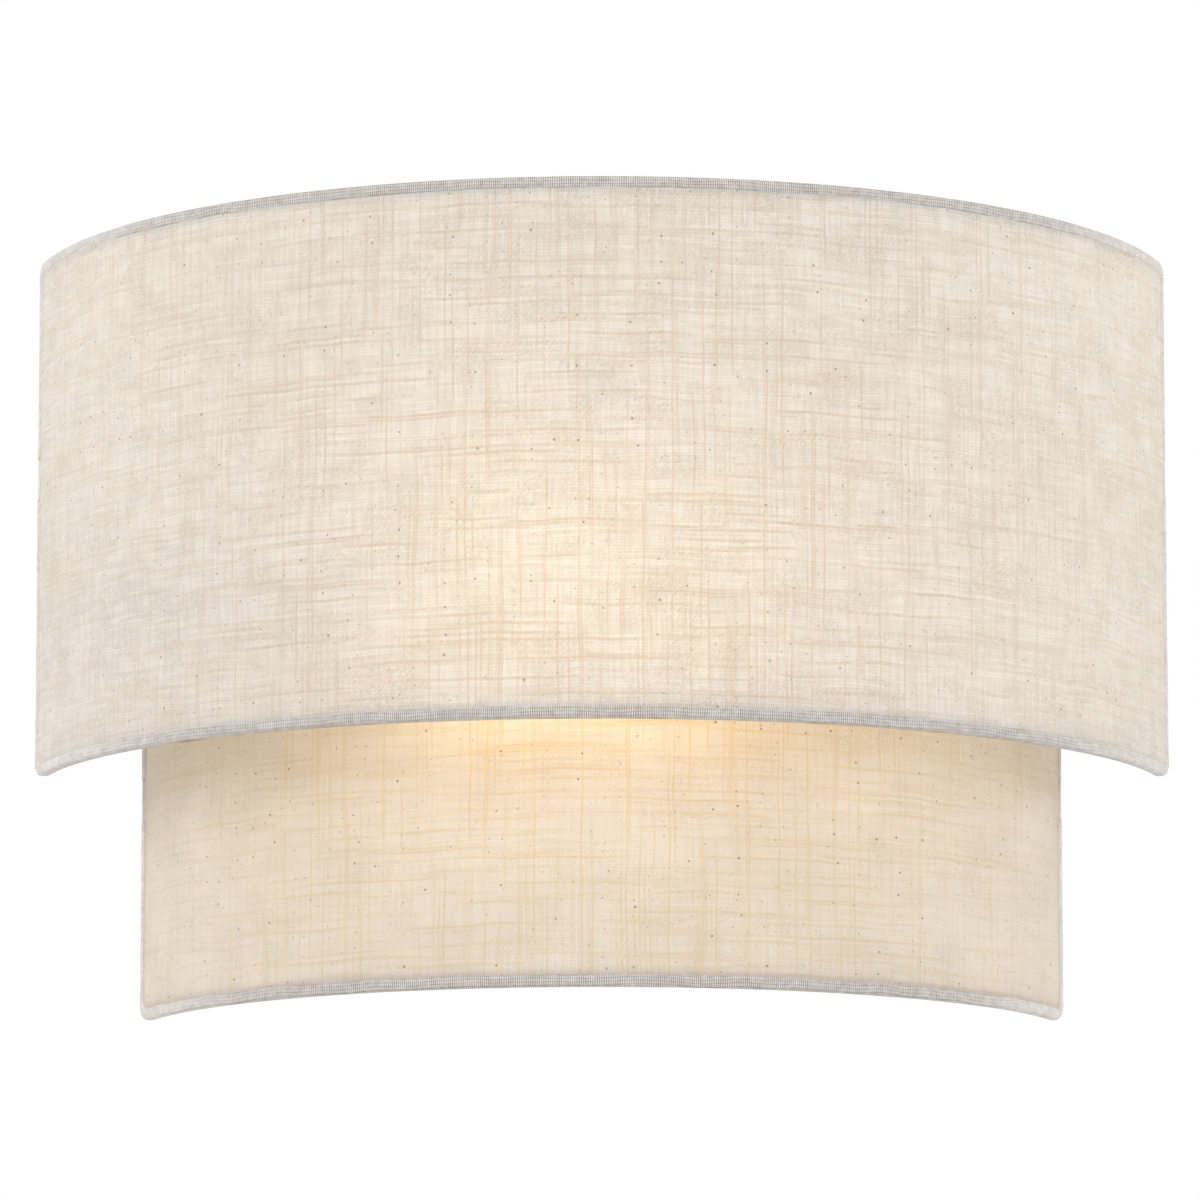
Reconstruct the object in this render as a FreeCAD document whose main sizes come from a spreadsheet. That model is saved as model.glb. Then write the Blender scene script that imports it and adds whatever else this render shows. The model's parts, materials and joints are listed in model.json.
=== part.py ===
"""Two-tier half-drum fabric wall light, one lamp, fixed to a junction box.

Millimetres, +Z up. The wall is the plane y = 0 and the light stands out towards -Y. The origin
is the middle of the mounting bar's back face, level with the lamp and the middle of the shade.
Both tiers are arcs about one upright axis that lies a little behind the wall.
"""
import FreeCAD, Part
import math
import os
import re

import Sketcher

SIZES = [
    # Shade
    ("upper_radius", 170.0, "outside of the upper tier's hems, from the arc axis"),
    ("tier_step", 30.0, "upper tier's radius less the lower tier's"),
    ("axis_behind_wall", 40.0, "arc axis of both tiers, behind the wall"),
    ("shade_top", 111.5, "upper rim above the origin"),
    ("upper_height", 152.0, "upper tier, rim to rim"),
    ("lower_height", 86.0, "lower tier, rim to rim"),
    ("tier_overlap", 15.0, "lower tier's reach up inside the upper one"),
    ("shade_wall_gap", 0.5, "rear hems to the wall"),
    ("wire_radius", 1.25, "frame wire"),
    ("corner_radius", 5.0, "bend from a hoop to a post, on the wire's centre"),
    ("hem_thickness", 0.4, "fabric rolled round the wire"),
    ("hem_clearance", 0.15, "wire to the fabric rolled round it"),
    ("hem_proud", 0.3, "hem's outside beyond the fabric wall's outside"),
    ("fabric_thickness", 0.6, "fabric wall"),
    ("liner_thickness", 0.5, "stiff translucent liner"),
    ("link_radius", 1.25, "wires that join the tiers' frames"),
    ("front_link_angle", 22.0, "front links, from the middle of the front"),
    ("rear_link_angle", 60.0, "rear links, from the middle of the front"),
    ("notch_clearance", 0.3, "notch in a rear hem round a strap's end"),
    # Straps and thumbscrews
    ("strap_width", 12.0, "flat bar across each tier"),
    ("strap_thickness", 1.5, "flat bar"),
    ("strap_inset", 10.0, "each strap's middle to the wall plate's top or bottom edge"),
    ("strap_seat_gap", 0.3, "strap to the front of the wall plate"),
    ("strap_side_gap", 3.0, "strap's bend to the edge of the wall plate"),
    ("strap_bend_run", 9.0, "sideways length of a strap's slope"),
    ("thumb_shank_radius", 2.0, "thumbscrew's shank"),
    ("thumb_running_gap", 0.08, "shank to the threaded insert"),
    ("thumb_hole_gap", 0.3, "shank to the strap's hole"),
    ("thumb_head_radius", 7.0, "knurled head"),
    ("thumb_head_length", 9.0, "knurled head"),
    ("thumb_collar_radius", 5.2, "plain collar under the head"),
    ("thumb_collar_length", 2.2, "plain collar under the head"),
    ("thumb_reach", 8.0, "shank's reach behind the wall plate's inner face"),
    ("thumb_chamfer", 0.7, "ends of the shank and the head"),
    ("knurl_depth", 0.8, "grip groove"),
    ("knurl_count", 18, "grip grooves round a head"),
    ("insert_radius", 4.0, "threaded insert behind the wall plate"),
    ("insert_length", 7.0, "threaded insert behind the wall plate"),
    # Wall plate and mounting bar
    ("plate_width", 190.0, "wall plate"),
    ("plate_height", 114.0, "wall plate"),
    ("plate_depth", 20.0, "wall plate, wall to front"),
    ("plate_sheet", 1.0, "wall plate's steel"),
    ("plate_corner", 14.0, "wall plate's corners seen from the front"),
    ("plate_edge", 3.0, "rounding between the front and the sides"),
    ("bar_width", 20.0, "mounting bar"),
    ("bar_end_gap", 3.0, "mounting bar's ends to the inside of the wall plate"),
    ("bar_thickness", 2.0, "mounting bar"),
    ("bar_corner", 3.0, "mounting bar's corners"),
    ("slot_spacing", 79.4, "slot centre to slot centre"),
    ("slot_length", 14.0, "slot, end to end"),
    ("slot_radius", 2.2, "half of the slot's width"),
    ("stud_radius", 2.0, "studs that hold the wall plate"),
    ("stud_spacing", 48.0, "stud to stud"),
    ("stud_reach", 6.0, "stud in front of the wall plate"),
    ("thread_gap", 0.05, "thread to thread in parts screwed together"),
    ("hole_gap", 0.3, "screws and studs in plain holes"),
    ("nut_radius", 4.4, "lock nuts and cap nuts, across the corners"),
    ("nut_length", 3.2, "lock nuts and the hexagon of the cap nuts"),
    ("cap_nut_dome", 3.6, "radius of a cap nut's dome"),
    # Ground
    ("ground_shank_radius", 1.9, "ground screw"),
    ("ground_head_radius", 4.4, "ground screw's head"),
    ("ground_head_length", 2.6, "ground screw's head"),
    ("terminal_radius", 3.9, "ring terminal"),
    ("terminal_sheet", 0.8, "ring terminal"),
    ("terminal_barrel_radius", 1.9, "ring terminal's crimp barrel"),
    ("terminal_barrel_length", 7.0, "ring terminal's crimp barrel"),
    # Lampholder and its bracket
    ("lamp_axis", 64.0, "lamp's axis, from the wall"),
    ("bracket_inset", 2.0, "bracket to the wall plate's edge"),
    ("bracket_sheet", 2.0, "bracket's steel"),
    ("bracket_width", 28.0, "bracket"),
    ("bracket_foot", 34.0, "bracket's foot along the wall plate"),
    ("bracket_top", 14.0, "bracket's upright beyond the lamp's axis"),
    ("bracket_corner", 9.0, "bracket's outer corners"),
    ("bracket_bend", 1.5, "inside of the bracket's bend"),
    ("bracket_screw_radius", 1.9, "screws through the bracket's foot"),
    ("bracket_screw_head", 3.6, "screws through the bracket's foot"),
    ("bracket_screw_spacing", 17.0, "screws through the bracket's foot"),
    ("bracket_screw_inset", 5.5, "screws to the free end of the foot"),
    ("bushing_radius", 5.3, "wire bushing's neck"),
    ("bushing_gap", 0.2, "wire bushing's neck to its hole"),
    ("bushing_bore", 4.0, "wire bushing"),
    ("bushing_flange", 7.0, "wire bushing"),
    ("bushing_lip", 6.1, "wire bushing's snap lip"),
    ("bushing_sheet", 1.2, "wire bushing's flange and lip"),
    ("bushing_inset", 11.0, "wire bushing, from the bracket's upright"),
    ("holder_radius", 17.0, "lampholder"),
    ("holder_length", 42.0, "lampholder"),
    ("holder_floor", 7.0, "solid back of the lampholder"),
    ("holder_wall", 2.7, "lampholder"),
    ("holder_edge", 1.5, "lampholder's rounded rim"),
    ("terminal_boss_width", 12.0, "raised block where the leads leave the lampholder"),
    ("terminal_boss_height", 12.0, "raised block where the leads leave the lampholder"),
    ("terminal_boss_rise", 3.0, "raised block beyond the lampholder's side"),
    ("nipple_radius", 4.75, "hollow threaded tube"),
    ("nipple_bore", 3.6, "hollow threaded tube"),
    ("nipple_depth", 5.0, "threaded tube inside the lampholder"),
    ("nipple_tail", 6.0, "threaded tube behind the bracket"),
    ("nipple_nut_radius", 8.0, "nut on the threaded tube, across the corners"),
    ("nipple_nut_length", 3.0, "nut on the threaded tube"),
    ("screw_shell_gap", 0.3, "screw shell to the lamp's cap"),
    ("screw_shell_sheet", 0.4, "screw shell"),
    ("screw_shell_length", 24.0, "screw shell"),
    ("screw_shell_hole", 7.0, "opening in the back of the screw shell"),
    ("contact_width", 5.0, "centre contact"),
    ("contact_sheet", 0.6, "centre contact"),
    ("contact_reach", 6.0, "centre contact, off the lampholder's floor"),
    ("contact_length", 10.0, "centre contact"),
    ("lead_radius", 1.2, "insulated leads"),
    ("lead_spacing", 4.6, "line lead to neutral lead in the bushing"),
    # Lamp
    ("bulb_contact_gap", 0.3, "lamp's contact to the centre contact"),
    ("bulb_length", 110.0, "lamp, end to end"),
    ("globe_radius", 30.0, "lamp's round end"),
    ("neck_straight", 3.2, "plain neck between the screw cap and where the glass widens"),
    ("glass_thickness", 0.8, "lamp's glass"),
    ("cap_radius", 13.2, "lamp's screw cap"),
    ("cap_sheet", 0.4, "lamp's screw cap"),
    ("cap_length", 21.0, "lamp's screw cap"),
    ("cap_glass_gap", 0.1, "screw cap to the neck inside it"),
    ("cap_glass_overlap", 8.0, "neck inside the screw cap"),
    ("insulator_length", 2.6, "black glass between cap and contact"),
    ("insulator_radius", 8.5, "black glass at the cap"),
    ("bulb_contact_radius", 4.6, "lamp's end contact"),
    ("bulb_contact_length", 1.2, "lamp's end contact"),
    ("stem_gap", 0.2, "glass stem's foot to the neck"),
    ("stem_flare", 10.0, "glass stem's flared foot"),
    ("stem_radius", 3.0, "glass stem"),
    ("filament_radius", 9.0, "arc of the filament"),
    ("filament_place", 8.0, "filament's ends behind the globe's centre"),
    ("filament_wire", 0.5, "filament coil's outside"),
    ("support_wire", 0.45, "filament's support wires"),
    ("support_length", 13.2, "glass stem's end to the filament's ends"),
    # Wire connectors
    ("connector_mouth_radius", 5.0, "wire connector at its mouth"),
    ("connector_tip_radius", 3.4, "wire connector at its closed end"),
    ("connector_bore", 3.2, "wire connector"),
    ("connector_length", 18.0, "wire connector"),
    ("connector_depth", 9.0, "wire connector's bore"),
    ("connector_from_wall", 9.5, "wire connectors' axis"),
    ("connector_mouth", 43.0, "connectors' mouths, left of the middle"),
    ("connector_row", 30.0, "line and neutral connectors, above and below the middle"),
    ("lead_seat_gap", 0.3, "lead's end to the bottom of a connector's bore"),
]

X_AXIS = FreeCAD.Vector(1, 0, 0)
Y_AXIS = FreeCAD.Vector(0, 1, 0)
Z_AXIS = FreeCAD.Vector(0, 0, 1)
QUARTER_TURN = 90
WIRE_FLATS = 8
HALF_FLAT = 180 / WIRE_FLATS
TINY = 1e-6

document = FreeCAD.newDocument("ShadeWallLight")
sheet = document.addObject("Spreadsheet::Sheet", "Sizes")
for row, (alias, number, note) in enumerate(SIZES, start=1):
    sheet.set(f"A{row}", alias)
    sheet.set(f"B{row}", str(number))
    sheet.setAlias(f"B{row}", alias)
    sheet.set(f"C{row}", note)
document.recompute()

ALIASES = re.compile(r"\b(" + "|".join(alias for alias, _, _ in SIZES) + r")\b")
nodes = {}


# ---------------------------------------------------------------- helpers

def size(expression):
    """The number that an expression of the sheet's aliases comes to."""
    value = sheet.evalExpression(str(expression))
    return float(getattr(value, "Value", value))


def linked(expression):
    """The same expression, as an object outside the sheet has to write it."""
    return ALIASES.sub(r"Sizes.\1", str(expression))


def bind(item, **properties):
    """Tie properties to the sheet. A double underscore in a name stands for a dot."""
    for name, expression in properties.items():
        item.setExpression(name.replace("__", "."), linked(expression))


def move(item, place):
    """Tie an object's position to three expressions."""
    for axis, expression in zip("xyz", place):
        item.setExpression(f"Placement.Base.{axis}", linked(expression))


def node(name, item):
    """Name a finished sub-part."""
    item.Label = name
    nodes[name] = item
    return item


def add(kind, name):
    return document.addObject(kind, name)


def rod(name, radius, length, place, towards):
    """A round bar from a place. Towards is left, right, front, back or up."""
    item = add("Part::Cylinder", name)
    bind(item, Radius=radius, Height=length)
    turns = {"up": (Z_AXIS, 0), "right": (Y_AXIS, QUARTER_TURN), "left": (Y_AXIS, -QUARTER_TURN),
             "front": (X_AXIS, QUARTER_TURN), "back": (X_AXIS, -QUARTER_TURN)}
    item.Placement.Rotation = FreeCAD.Rotation(*turns[towards])
    move(item, place)
    return item


def hexagon(name, radius, length, place, towards):
    """A hexagonal bar, by its corner radius."""
    item = add("Part::Prism", name)
    item.Polygon = 6
    bind(item, Circumradius=radius, Height=length)
    turns = {"front": (X_AXIS, QUARTER_TURN), "left": (Y_AXIS, -QUARTER_TURN)}
    item.Placement.Rotation = FreeCAD.Rotation(*turns[towards])
    move(item, place)
    return item


def block(name, low, high):
    """A box between two corners."""
    item = add("Part::Box", name)
    for side, near, far in zip(("Length", "Width", "Height"), low, high):
        item.setExpression(side, linked(f"({far}) - ({near})"))
    move(item, low)
    return item


def fuse(name, pieces):
    item = add("Part::MultiFuse", name)
    item.Shapes = pieces
    return item


def group(name, pieces):
    """Separate solids that share a node."""
    item = add("Part::Compound", name)
    item.Links = pieces
    return item


def cut(name, base, tool):
    item = add("Part::Cut", name)
    item.Base = base
    item.Tool = tool
    return item


def new_body(name):
    return node(name, add("PartDesign::Body", name + "_body"))


def new_sketch(body, name, role):
    """A sketch on one of its own body's origin planes."""
    sketch = body.newObject("Sketcher::SketchObject", name)
    planes = [item for item in body.Origin.OriginFeatures if item.Role == role]
    sketch.AttachmentSupport = [(planes[0], "")]
    sketch.MapMode = "FlatFace"
    return sketch


def pin_point(sketch, geometry, end, place):
    """Tie a point of a sketch to two expressions, measured from the origin."""
    for kind, axis, expression in (("DistanceX", -2, place[0]), ("DistanceY", -1, place[1])):
        value = size(expression)
        if abs(value) < TINY:
            sketch.addConstraint(Sketcher.Constraint("PointOnObject", geometry, end, axis))
            continue
        if value > 0:
            row = sketch.addConstraint(Sketcher.Constraint(kind, -1, 1, geometry, end, value))
            sketch.setExpression(f"Constraints[{row}]", linked(expression))
        else:
            row = sketch.addConstraint(Sketcher.Constraint(kind, geometry, end, -1, 1, -value))
            sketch.setExpression(f"Constraints[{row}]", linked(f"-({expression})"))


def outline(sketch, corners):
    """A closed outline of straight lines."""
    points = [FreeCAD.Vector(size(across), size(up), 0) for across, up in corners]
    following = points[1:] + points[:1]
    first = sketch.GeometryCount
    for start, end in zip(points, following):
        sketch.addGeometry(Part.LineSegment(start, end))
    count = len(points)
    for side in range(count):
        after = first + (side + 1) % count
        sketch.addConstraint(Sketcher.Constraint("Coincident", first + side, 2, after, 1))
    for side, corner in enumerate(corners):
        pin_point(sketch, first + side, 1, corner)


def circles(sketch, centres, radius):
    for centre in centres:
        middle = FreeCAD.Vector(size(centre[0]), size(centre[1]), 0)
        row = sketch.addGeometry(Part.Circle(middle, Z_AXIS, size(radius)))
        pin_point(sketch, row, 3, centre)
        rule = sketch.addConstraint(Sketcher.Constraint("Radius", row, size(radius)))
        sketch.setExpression(f"Constraints[{rule}]", linked(radius))


def pad(body, sketch, name, length, middle=False, back=False):
    item = body.newObject("PartDesign::Pad", name)
    item.Profile = sketch
    item.Midplane = middle
    item.Reversed = back
    bind(item, Length=length)
    document.recompute()
    return item


def pocket(body, sketch, name, length, middle=False):
    """A pocket along its sketch's normal, whose cut is proved by the drop in volume."""
    before = body.Shape.Volume
    item = body.newObject("PartDesign::Pocket", name)
    item.Profile = sketch
    item.Midplane = middle
    item.Reversed = True
    bind(item, Length=length)
    document.recompute()
    if body.Shape.Volume > before - TINY:
        raise RuntimeError(f"{name} cuts nothing")
    return item


def revolve(body, sketch, name, axis):
    """A full turn about the sketch's own H_Axis or V_Axis."""
    item = body.newObject("PartDesign::Revolution", name)
    item.Profile = sketch
    item.ReferenceAxis = (sketch, [axis])
    item.Angle = 360
    document.recompute()
    return item


def round_edges(body, name, radius, wanted):
    """Fillet the edges of the body whose midpoint and direction pass a test."""
    shape = body.Shape
    picked = [f"Edge{row}" for row, edge in enumerate(shape.Edges, start=1) if wanted(edge)]
    base = body.Tip
    item = body.newObject("PartDesign::Fillet", name)
    item.Base = (base, picked)
    bind(item, Radius=radius)
    document.recompute()
    return item


def runs_along(edge, axis):
    """Whether an edge is a straight line along an axis."""
    if edge.Curve.TypeId != "Part::GeomLine":
        return False
    return abs(abs(edge.Curve.Direction.dot(axis)) - 1) < TINY


# ---------------------------------------------------------------- places that pieces share

PLATE_FRONT = "-plate_depth"
PLATE_INSIDE = "-(plate_depth - plate_sheet)"
UPRIGHT_LEFT = "-(plate_width / 2 - bracket_inset)"
UPRIGHT_RIGHT = f"({UPRIGHT_LEFT} + bracket_sheet)"
HOLDER_FLOOR = f"({UPRIGHT_RIGHT} + holder_floor)"
BULB_END = f"({HOLDER_FLOOR} + contact_reach + bulb_contact_gap)"
CAP_START = f"({BULB_END} + bulb_contact_length + insulator_length)"
CAP_END = f"({CAP_START} + cap_length)"
NECK_START = f"({CAP_END} - cap_glass_overlap)"
GLOBE_CENTRE = f"({BULB_END} + bulb_length - globe_radius)"
NECK_LENGTH = f"({GLOBE_CENTRE} - {CAP_END} - neck_straight)"
STEM_END = f"({GLOBE_CENTRE} - filament_place - support_length)"
LAMP_Y = "-lamp_axis"
BUSHING_X = f"({UPRIGHT_RIGHT} + bushing_inset)"
BRACKET_SCREW_X = f"({UPRIGHT_LEFT} + bracket_foot - bracket_screw_inset)"
TERMINAL_BARREL_X = "-(terminal_radius + terminal_barrel_radius)"
TERMINAL_BARREL_Y = "-(bar_thickness + terminal_barrel_radius)"
BOSS_Y = "-(lamp_axis - holder_radius - terminal_boss_rise)"
NECK_RADIUS = "(cap_radius - cap_sheet - cap_glass_gap)"
STRAP_LEVEL = "(plate_height / 2 - strap_inset)"
BAR_LENGTH = "(plate_height - 2 * (plate_sheet + bar_end_gap))"
STRAP_BACK = "(plate_depth + strap_seat_gap)"
STRAP_FRONT = "(plate_depth + strap_seat_gap + strap_thickness)"
HEM_RADIUS = "(wire_radius + hem_clearance + hem_thickness)"
POST_Y = f"(shade_wall_gap + {HEM_RADIUS})"
WIRE_CORNER = f"(wire_radius / cos({HALF_FLAT} deg))"
UPPER_LOW = "(shade_top - upper_height)"
LOWER_TOP = f"({UPPER_LOW} + tier_overlap)"
LOWER_LOW = f"({LOWER_TOP} - lower_height)"
SIGNS = (1, -1)


class Tier:
    """One tier of the shade: where its wires, posts and walls lie."""

    def __init__(self, name, radius, low, top):
        self.name = name
        self.wire = f"({radius} - {HEM_RADIUS})"
        self.outside = f"({radius} - hem_proud)"
        self.low = f"({low} + {HEM_RADIUS})"
        self.top = f"({top} - {HEM_RADIUS})"
        # Angles from the front, where the posts stand and where the hoops' arcs end
        self.post_angle = f"acos((axis_behind_wall + {POST_Y}) / {self.wire})"
        self.arc_angle = f"({self.post_angle} - corner_radius / {self.wire} * 180 deg / pi)"

    def post_place(self, side):
        """A post's centre: a corner's radius past the arc's end, along its tangent."""
        angle = math.radians(size(self.arc_angle))
        wire = size(self.wire)
        corner = size("corner_radius")
        across = wire * math.sin(angle) + corner * math.cos(angle)
        out = size("axis_behind_wall") - wire * math.cos(angle) + corner * math.sin(angle)
        return FreeCAD.Vector(side * across, out, 0)


UPPER = Tier("upper", "upper_radius", UPPER_LOW, "shade_top")
LOWER = Tier("lower", "(upper_radius - tier_step)", LOWER_LOW, LOWER_TOP)


# ---------------------------------------------------------------- shade

def bent_wire(name, thickness, frame, place, base, axis, angle):
    """A wire bent about an axis, drawn with eight flats. Its section starts at a place."""
    section = add("Part::RegularPolygon", f"{name}_section")
    section.Polygon = WIRE_FLATS
    bind(section, Circumradius=f"({thickness}) / cos({HALF_FLAT} deg)")
    section.Placement = FreeCAD.Placement(place, frame * FreeCAD.Rotation(Z_AXIS, HALF_FLAT))
    wire = add("Part::Revolution", name)
    wire.Source = section
    wire.Base = base
    wire.Axis = axis
    wire.Solid = True
    bind(wire, Angle=angle)
    return wire


def hoop(tier, name, thickness, level, upwards):
    """A hoop: the long arc and, at each end, the bend into the post."""
    angle = math.radians(size(tier.arc_angle))
    axis_place = FreeCAD.Vector(0, size("axis_behind_wall"), 0)
    height = Z_AXIS * size(level)
    bend_centre = Z_AXIS * size("corner_radius") * (-1 if upwards else 1)
    pieces = []
    for side in SIGNS:
        out = FreeCAD.Vector(side * math.sin(angle), -math.cos(angle), 0)
        tangent = FreeCAD.Vector(side * math.cos(angle), math.sin(angle), 0)
        end = axis_place + out * size(tier.wire) + height
        frame = FreeCAD.Rotation(out, tangent.cross(out), tangent, "XYZ")
        if side < 0:
            pieces.append(bent_wire(f"{name}_arc", thickness, frame, end, axis_place, Z_AXIS,
                                    f"2 * {tier.arc_angle}"))
        turn = bend_centre.cross(tangent) * -1
        turn.normalize()
        pieces.append(bent_wire(f"{name}_bend", thickness, frame, end, end + bend_centre,
                                turn, str(QUARTER_TURN)))
    return fuse(name, pieces)


def posts(tier, name, thickness):
    """The two upright wires at the wall, between the hoops' bends."""
    pieces = []
    angle = size(tier.arc_angle)
    for side in SIGNS:
        post = add("Part::Prism", f"{name}_post")
        post.Polygon = WIRE_FLATS
        bind(post, Circumradius=f"({thickness}) / cos({HALF_FLAT} deg)",
             Height=f"{tier.top} - {tier.low} - 2 * corner_radius")
        post.Placement = FreeCAD.Placement(
            tier.post_place(side), FreeCAD.Rotation(Z_AXIS, side * angle + HALF_FLAT))
        post.setExpression("Placement.Base.z", linked(f"{tier.low} + corner_radius"))
        pieces.append(post)
    return pieces


def curved_panel(tier, name, outside, thickness, inset):
    """A panel on the arc with four round corners. Its edge lies inside the frame wire's
    centre line by the inset, or outside it where the inset is negative."""
    angle = f"({tier.post_angle} - ({inset}) / {tier.wire} * 180 deg / pi)"
    shells = []
    for part, radius in (("outer", outside), ("inner", f"({outside} - {thickness})")):
        shell = add("Part::Cylinder", f"{name}_{part}")
        bind(shell, Radius=radius, Height=f"{tier.top} - {tier.low} - 2 * ({inset})",
             Angle=f"2 * {angle}", Placement__Rotation__Angle=f"-90 deg - {angle}")
        move(shell, ("0", "axis_behind_wall", f"{tier.low} + ({inset})"))
        shells.append(shell)
    plain = cut(f"{name}_plain", *shells)
    document.recompute()
    rounded = add("Part::Fillet", name)
    rounded.Base = plain
    corner = size(f"corner_radius - ({inset})")
    reach = size(thickness) + size("fabric_thickness")
    picked = []
    for row, edge in enumerate(plain.Shape.Edges, start=1):
        if edge.Curve.TypeId == "Part::GeomLine" and edge.Length < reach:
            picked.append((row, corner, corner))
    rounded.Edges = picked
    return rounded


def curved_frame(tier, name, half):
    """A band of square section round the edge of a tier, centred on the frame wire."""
    outside = f"({tier.wire} + {half})"
    whole = curved_panel(tier, f"{name}_whole", outside, f"(2 * {half})", f"-{half}")
    window = curved_panel(tier, f"{name}_window", f"({outside} + {half})", f"(4 * {half})", half)
    return cut(name, whole, window)


def strap_notches(tier, level, name):
    """Gaps in the rear hems where a strap reaches the posts."""
    pieces = []
    reach = size(f"{HEM_RADIUS} * sqrt(2) + notch_clearance")
    for side in SIGNS:
        place = tier.post_place(side)
        notch = add("Part::Box", f"{name}_notch")
        half = "(strap_width / 2 + notch_clearance)"
        bind(notch, Height=f"2 * {half}")
        notch.Length = reach
        notch.Width = 2 * reach
        left = place.x - reach if side > 0 else place.x
        notch.Placement.Base = FreeCAD.Vector(left, place.y - reach, 0)
        notch.setExpression("Placement.Base.z", linked(f"{level} - {half}"))
        pieces.append(notch)
    return pieces


def make_tier(tier, strap_level):
    """Wires, fabric and liner of one tier."""
    name = tier.name
    node(f"{name}_top_hoop", hoop(tier, f"{name}_top_hoop", "wire_radius", tier.top, True))
    node(f"{name}_bottom_hoop", hoop(tier, f"{name}_bottom_hoop", "wire_radius", tier.low, False))
    node(f"{name}_posts", group(f"{name}_posts", posts(tier, f"{name}_posts", "wire_radius")))
    roll = curved_frame(tier, f"{name}_hem_roll", HEM_RADIUS)
    bore = curved_frame(tier, f"{name}_hem_bore", "(wire_radius + hem_clearance)")
    wall = curved_panel(tier, f"{name}_wall", tier.outside, "fabric_thickness", HEM_RADIUS)
    cloth = fuse(f"{name}_cloth", [roll, wall])
    gaps = [bore] + strap_notches(tier, strap_level, name)
    for start, end in link_ends():
        gaps.append(straight_wire(f"{name}_link_gap", start, end,
                                  "link_radius + hem_clearance", WIRE_CORNER))
    gaps = group(f"{name}_gaps", gaps)
    node(f"{name}_fabric", cut(f"{name}_fabric", cloth, gaps))
    inside = f"({tier.outside} - fabric_thickness)"
    node(f"{name}_liner", curved_panel(tier, f"{name}_liner", inside, "liner_thickness",
                                       f"({HEM_RADIUS} + hem_clearance)"))


def link_ends():
    """Both ends of each wire that joins the lower tier's top hoop to the upper tier's
    bottom hoop, on the centre lines of the hoops."""
    axis = FreeCAD.Vector(0, size("axis_behind_wall"), 0)
    ends = []
    for turned in ("front_link_angle", "rear_link_angle"):
        turn = math.radians(size(turned))
        for side in SIGNS:
            out = FreeCAD.Vector(side * math.sin(turn), -math.cos(turn), 0)
            ends.append((axis + out * size(LOWER.wire) + Z_AXIS * size(LOWER.top),
                         axis + out * size(UPPER.wire) + Z_AXIS * size(UPPER.low)))
    return ends


def straight_wire(name, start, end, radius, trim="0"):
    """A straight wire between two points, less a trim at each end, with eight flats."""
    along = end - start
    along.normalize()
    item = add("Part::Prism", name)
    item.Polygon = WIRE_FLATS
    bind(item, Circumradius=f"({radius}) / cos({HALF_FLAT} deg)")
    item.Height = (end - start).Length - 2 * size(trim)
    item.Placement = FreeCAD.Placement(start + along * size(trim),
                                       FreeCAD.Rotation(Z_AXIS, along))
    return item


def make_links():
    """Four wires that carry the lower tier's frame on the upper one's."""
    pieces = [straight_wire("link", start, end, "link_radius", WIRE_CORNER)
              for start, end in link_ends()]
    node("tier_links", group("tier_links", pieces))


def make_strap(name, tier, level):
    """A flat bar: across the wall plate's front, then back to the posts at the wall."""
    body = new_body(name)
    sketch = new_sketch(body, f"{name}_bend_line", "XY_Plane")
    end = tier.post_place(1).x - size(WIRE_CORNER)
    post_y = -tier.post_place(1).y
    half = "strap_thickness / 2"
    bend = "(plate_width / 2 + strap_side_gap)"
    slope = f"({bend} + strap_bend_run)"
    front = [(bend, f"-{STRAP_FRONT}"), (f"{slope}", f"-({post_y} + {half})"),
             (f"{end}", f"-({post_y} + {half})")]
    back = [(f"{end}", f"-({post_y} - {half})"),
            (f"{slope} - strap_thickness", f"-({post_y} - {half})"),
            (f"{bend} - strap_thickness", f"-{STRAP_BACK}")]
    right = front + back
    left = [(f"-({across})", out) for across, out in reversed(right)]
    outline(sketch, right + left)
    pad(body, sketch, f"{name}_bar", "strap_width", middle=True)
    hole = new_sketch(body, f"{name}_hole_place", "XZ_Plane")
    circles(hole, [("0", "0")], "thumb_shank_radius + thumb_hole_gap")
    pocket(body, hole, f"{name}_hole", "2 * plate_depth")
    move(body, ("0", "0", level))
    document.recompute()


def make_thumbscrew(name, level):
    """A knurled thumbscrew through a strap into the insert behind the wall plate."""
    body = new_body(name)
    sketch = new_sketch(body, f"{name}_profile", "XY_Plane")
    tip = "(plate_depth - plate_sheet - thumb_reach)"
    seat = f"({STRAP_FRONT} + strap_seat_gap)"
    collar = f"({seat} + thumb_collar_length)"
    end = f"({collar} + thumb_head_length)"
    chamfer = "thumb_chamfer"
    outline(sketch, [
        ("0", f"-{tip}"),
        (f"thumb_shank_radius - {chamfer}", f"-{tip}"),
        ("thumb_shank_radius", f"-({tip} + {chamfer})"),
        ("thumb_shank_radius", f"-{seat}"),
        ("thumb_collar_radius", f"-{seat}"),
        ("thumb_collar_radius", f"-{collar}"),
        (f"thumb_head_radius - {chamfer}", f"-{collar}"),
        ("thumb_head_radius", f"-({collar} + {chamfer})"),
        ("thumb_head_radius", f"-({end} - {chamfer})"),
        (f"thumb_head_radius - {chamfer}", f"-{end}"),
        ("0", f"-{end}"),
    ])
    revolve(body, sketch, f"{name}_turned", "V_Axis")
    groove = new_sketch(body, f"{name}_groove_place", "XZ_Plane")
    beyond = "thumb_head_radius + knurl_depth"
    outline(groove, [("thumb_head_radius - knurl_depth", "0"),
                     (beyond, "knurl_depth"), (beyond, "-knurl_depth")])
    groove.setExpression("AttachmentOffset.Base.z", linked(collar))
    cut_groove = pocket(body, groove, f"{name}_groove", "2 * thumb_head_length")
    pattern = body.newObject("PartDesign::PolarPattern", f"{name}_knurl")
    pattern.Originals = [cut_groove]
    pattern.Axis = (sketch, ["V_Axis"])
    pattern.Angle = 360
    bind(pattern, Occurrences="knurl_count")
    body.Tip = pattern
    move(body, ("0", "0", level))
    document.recompute()


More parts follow.
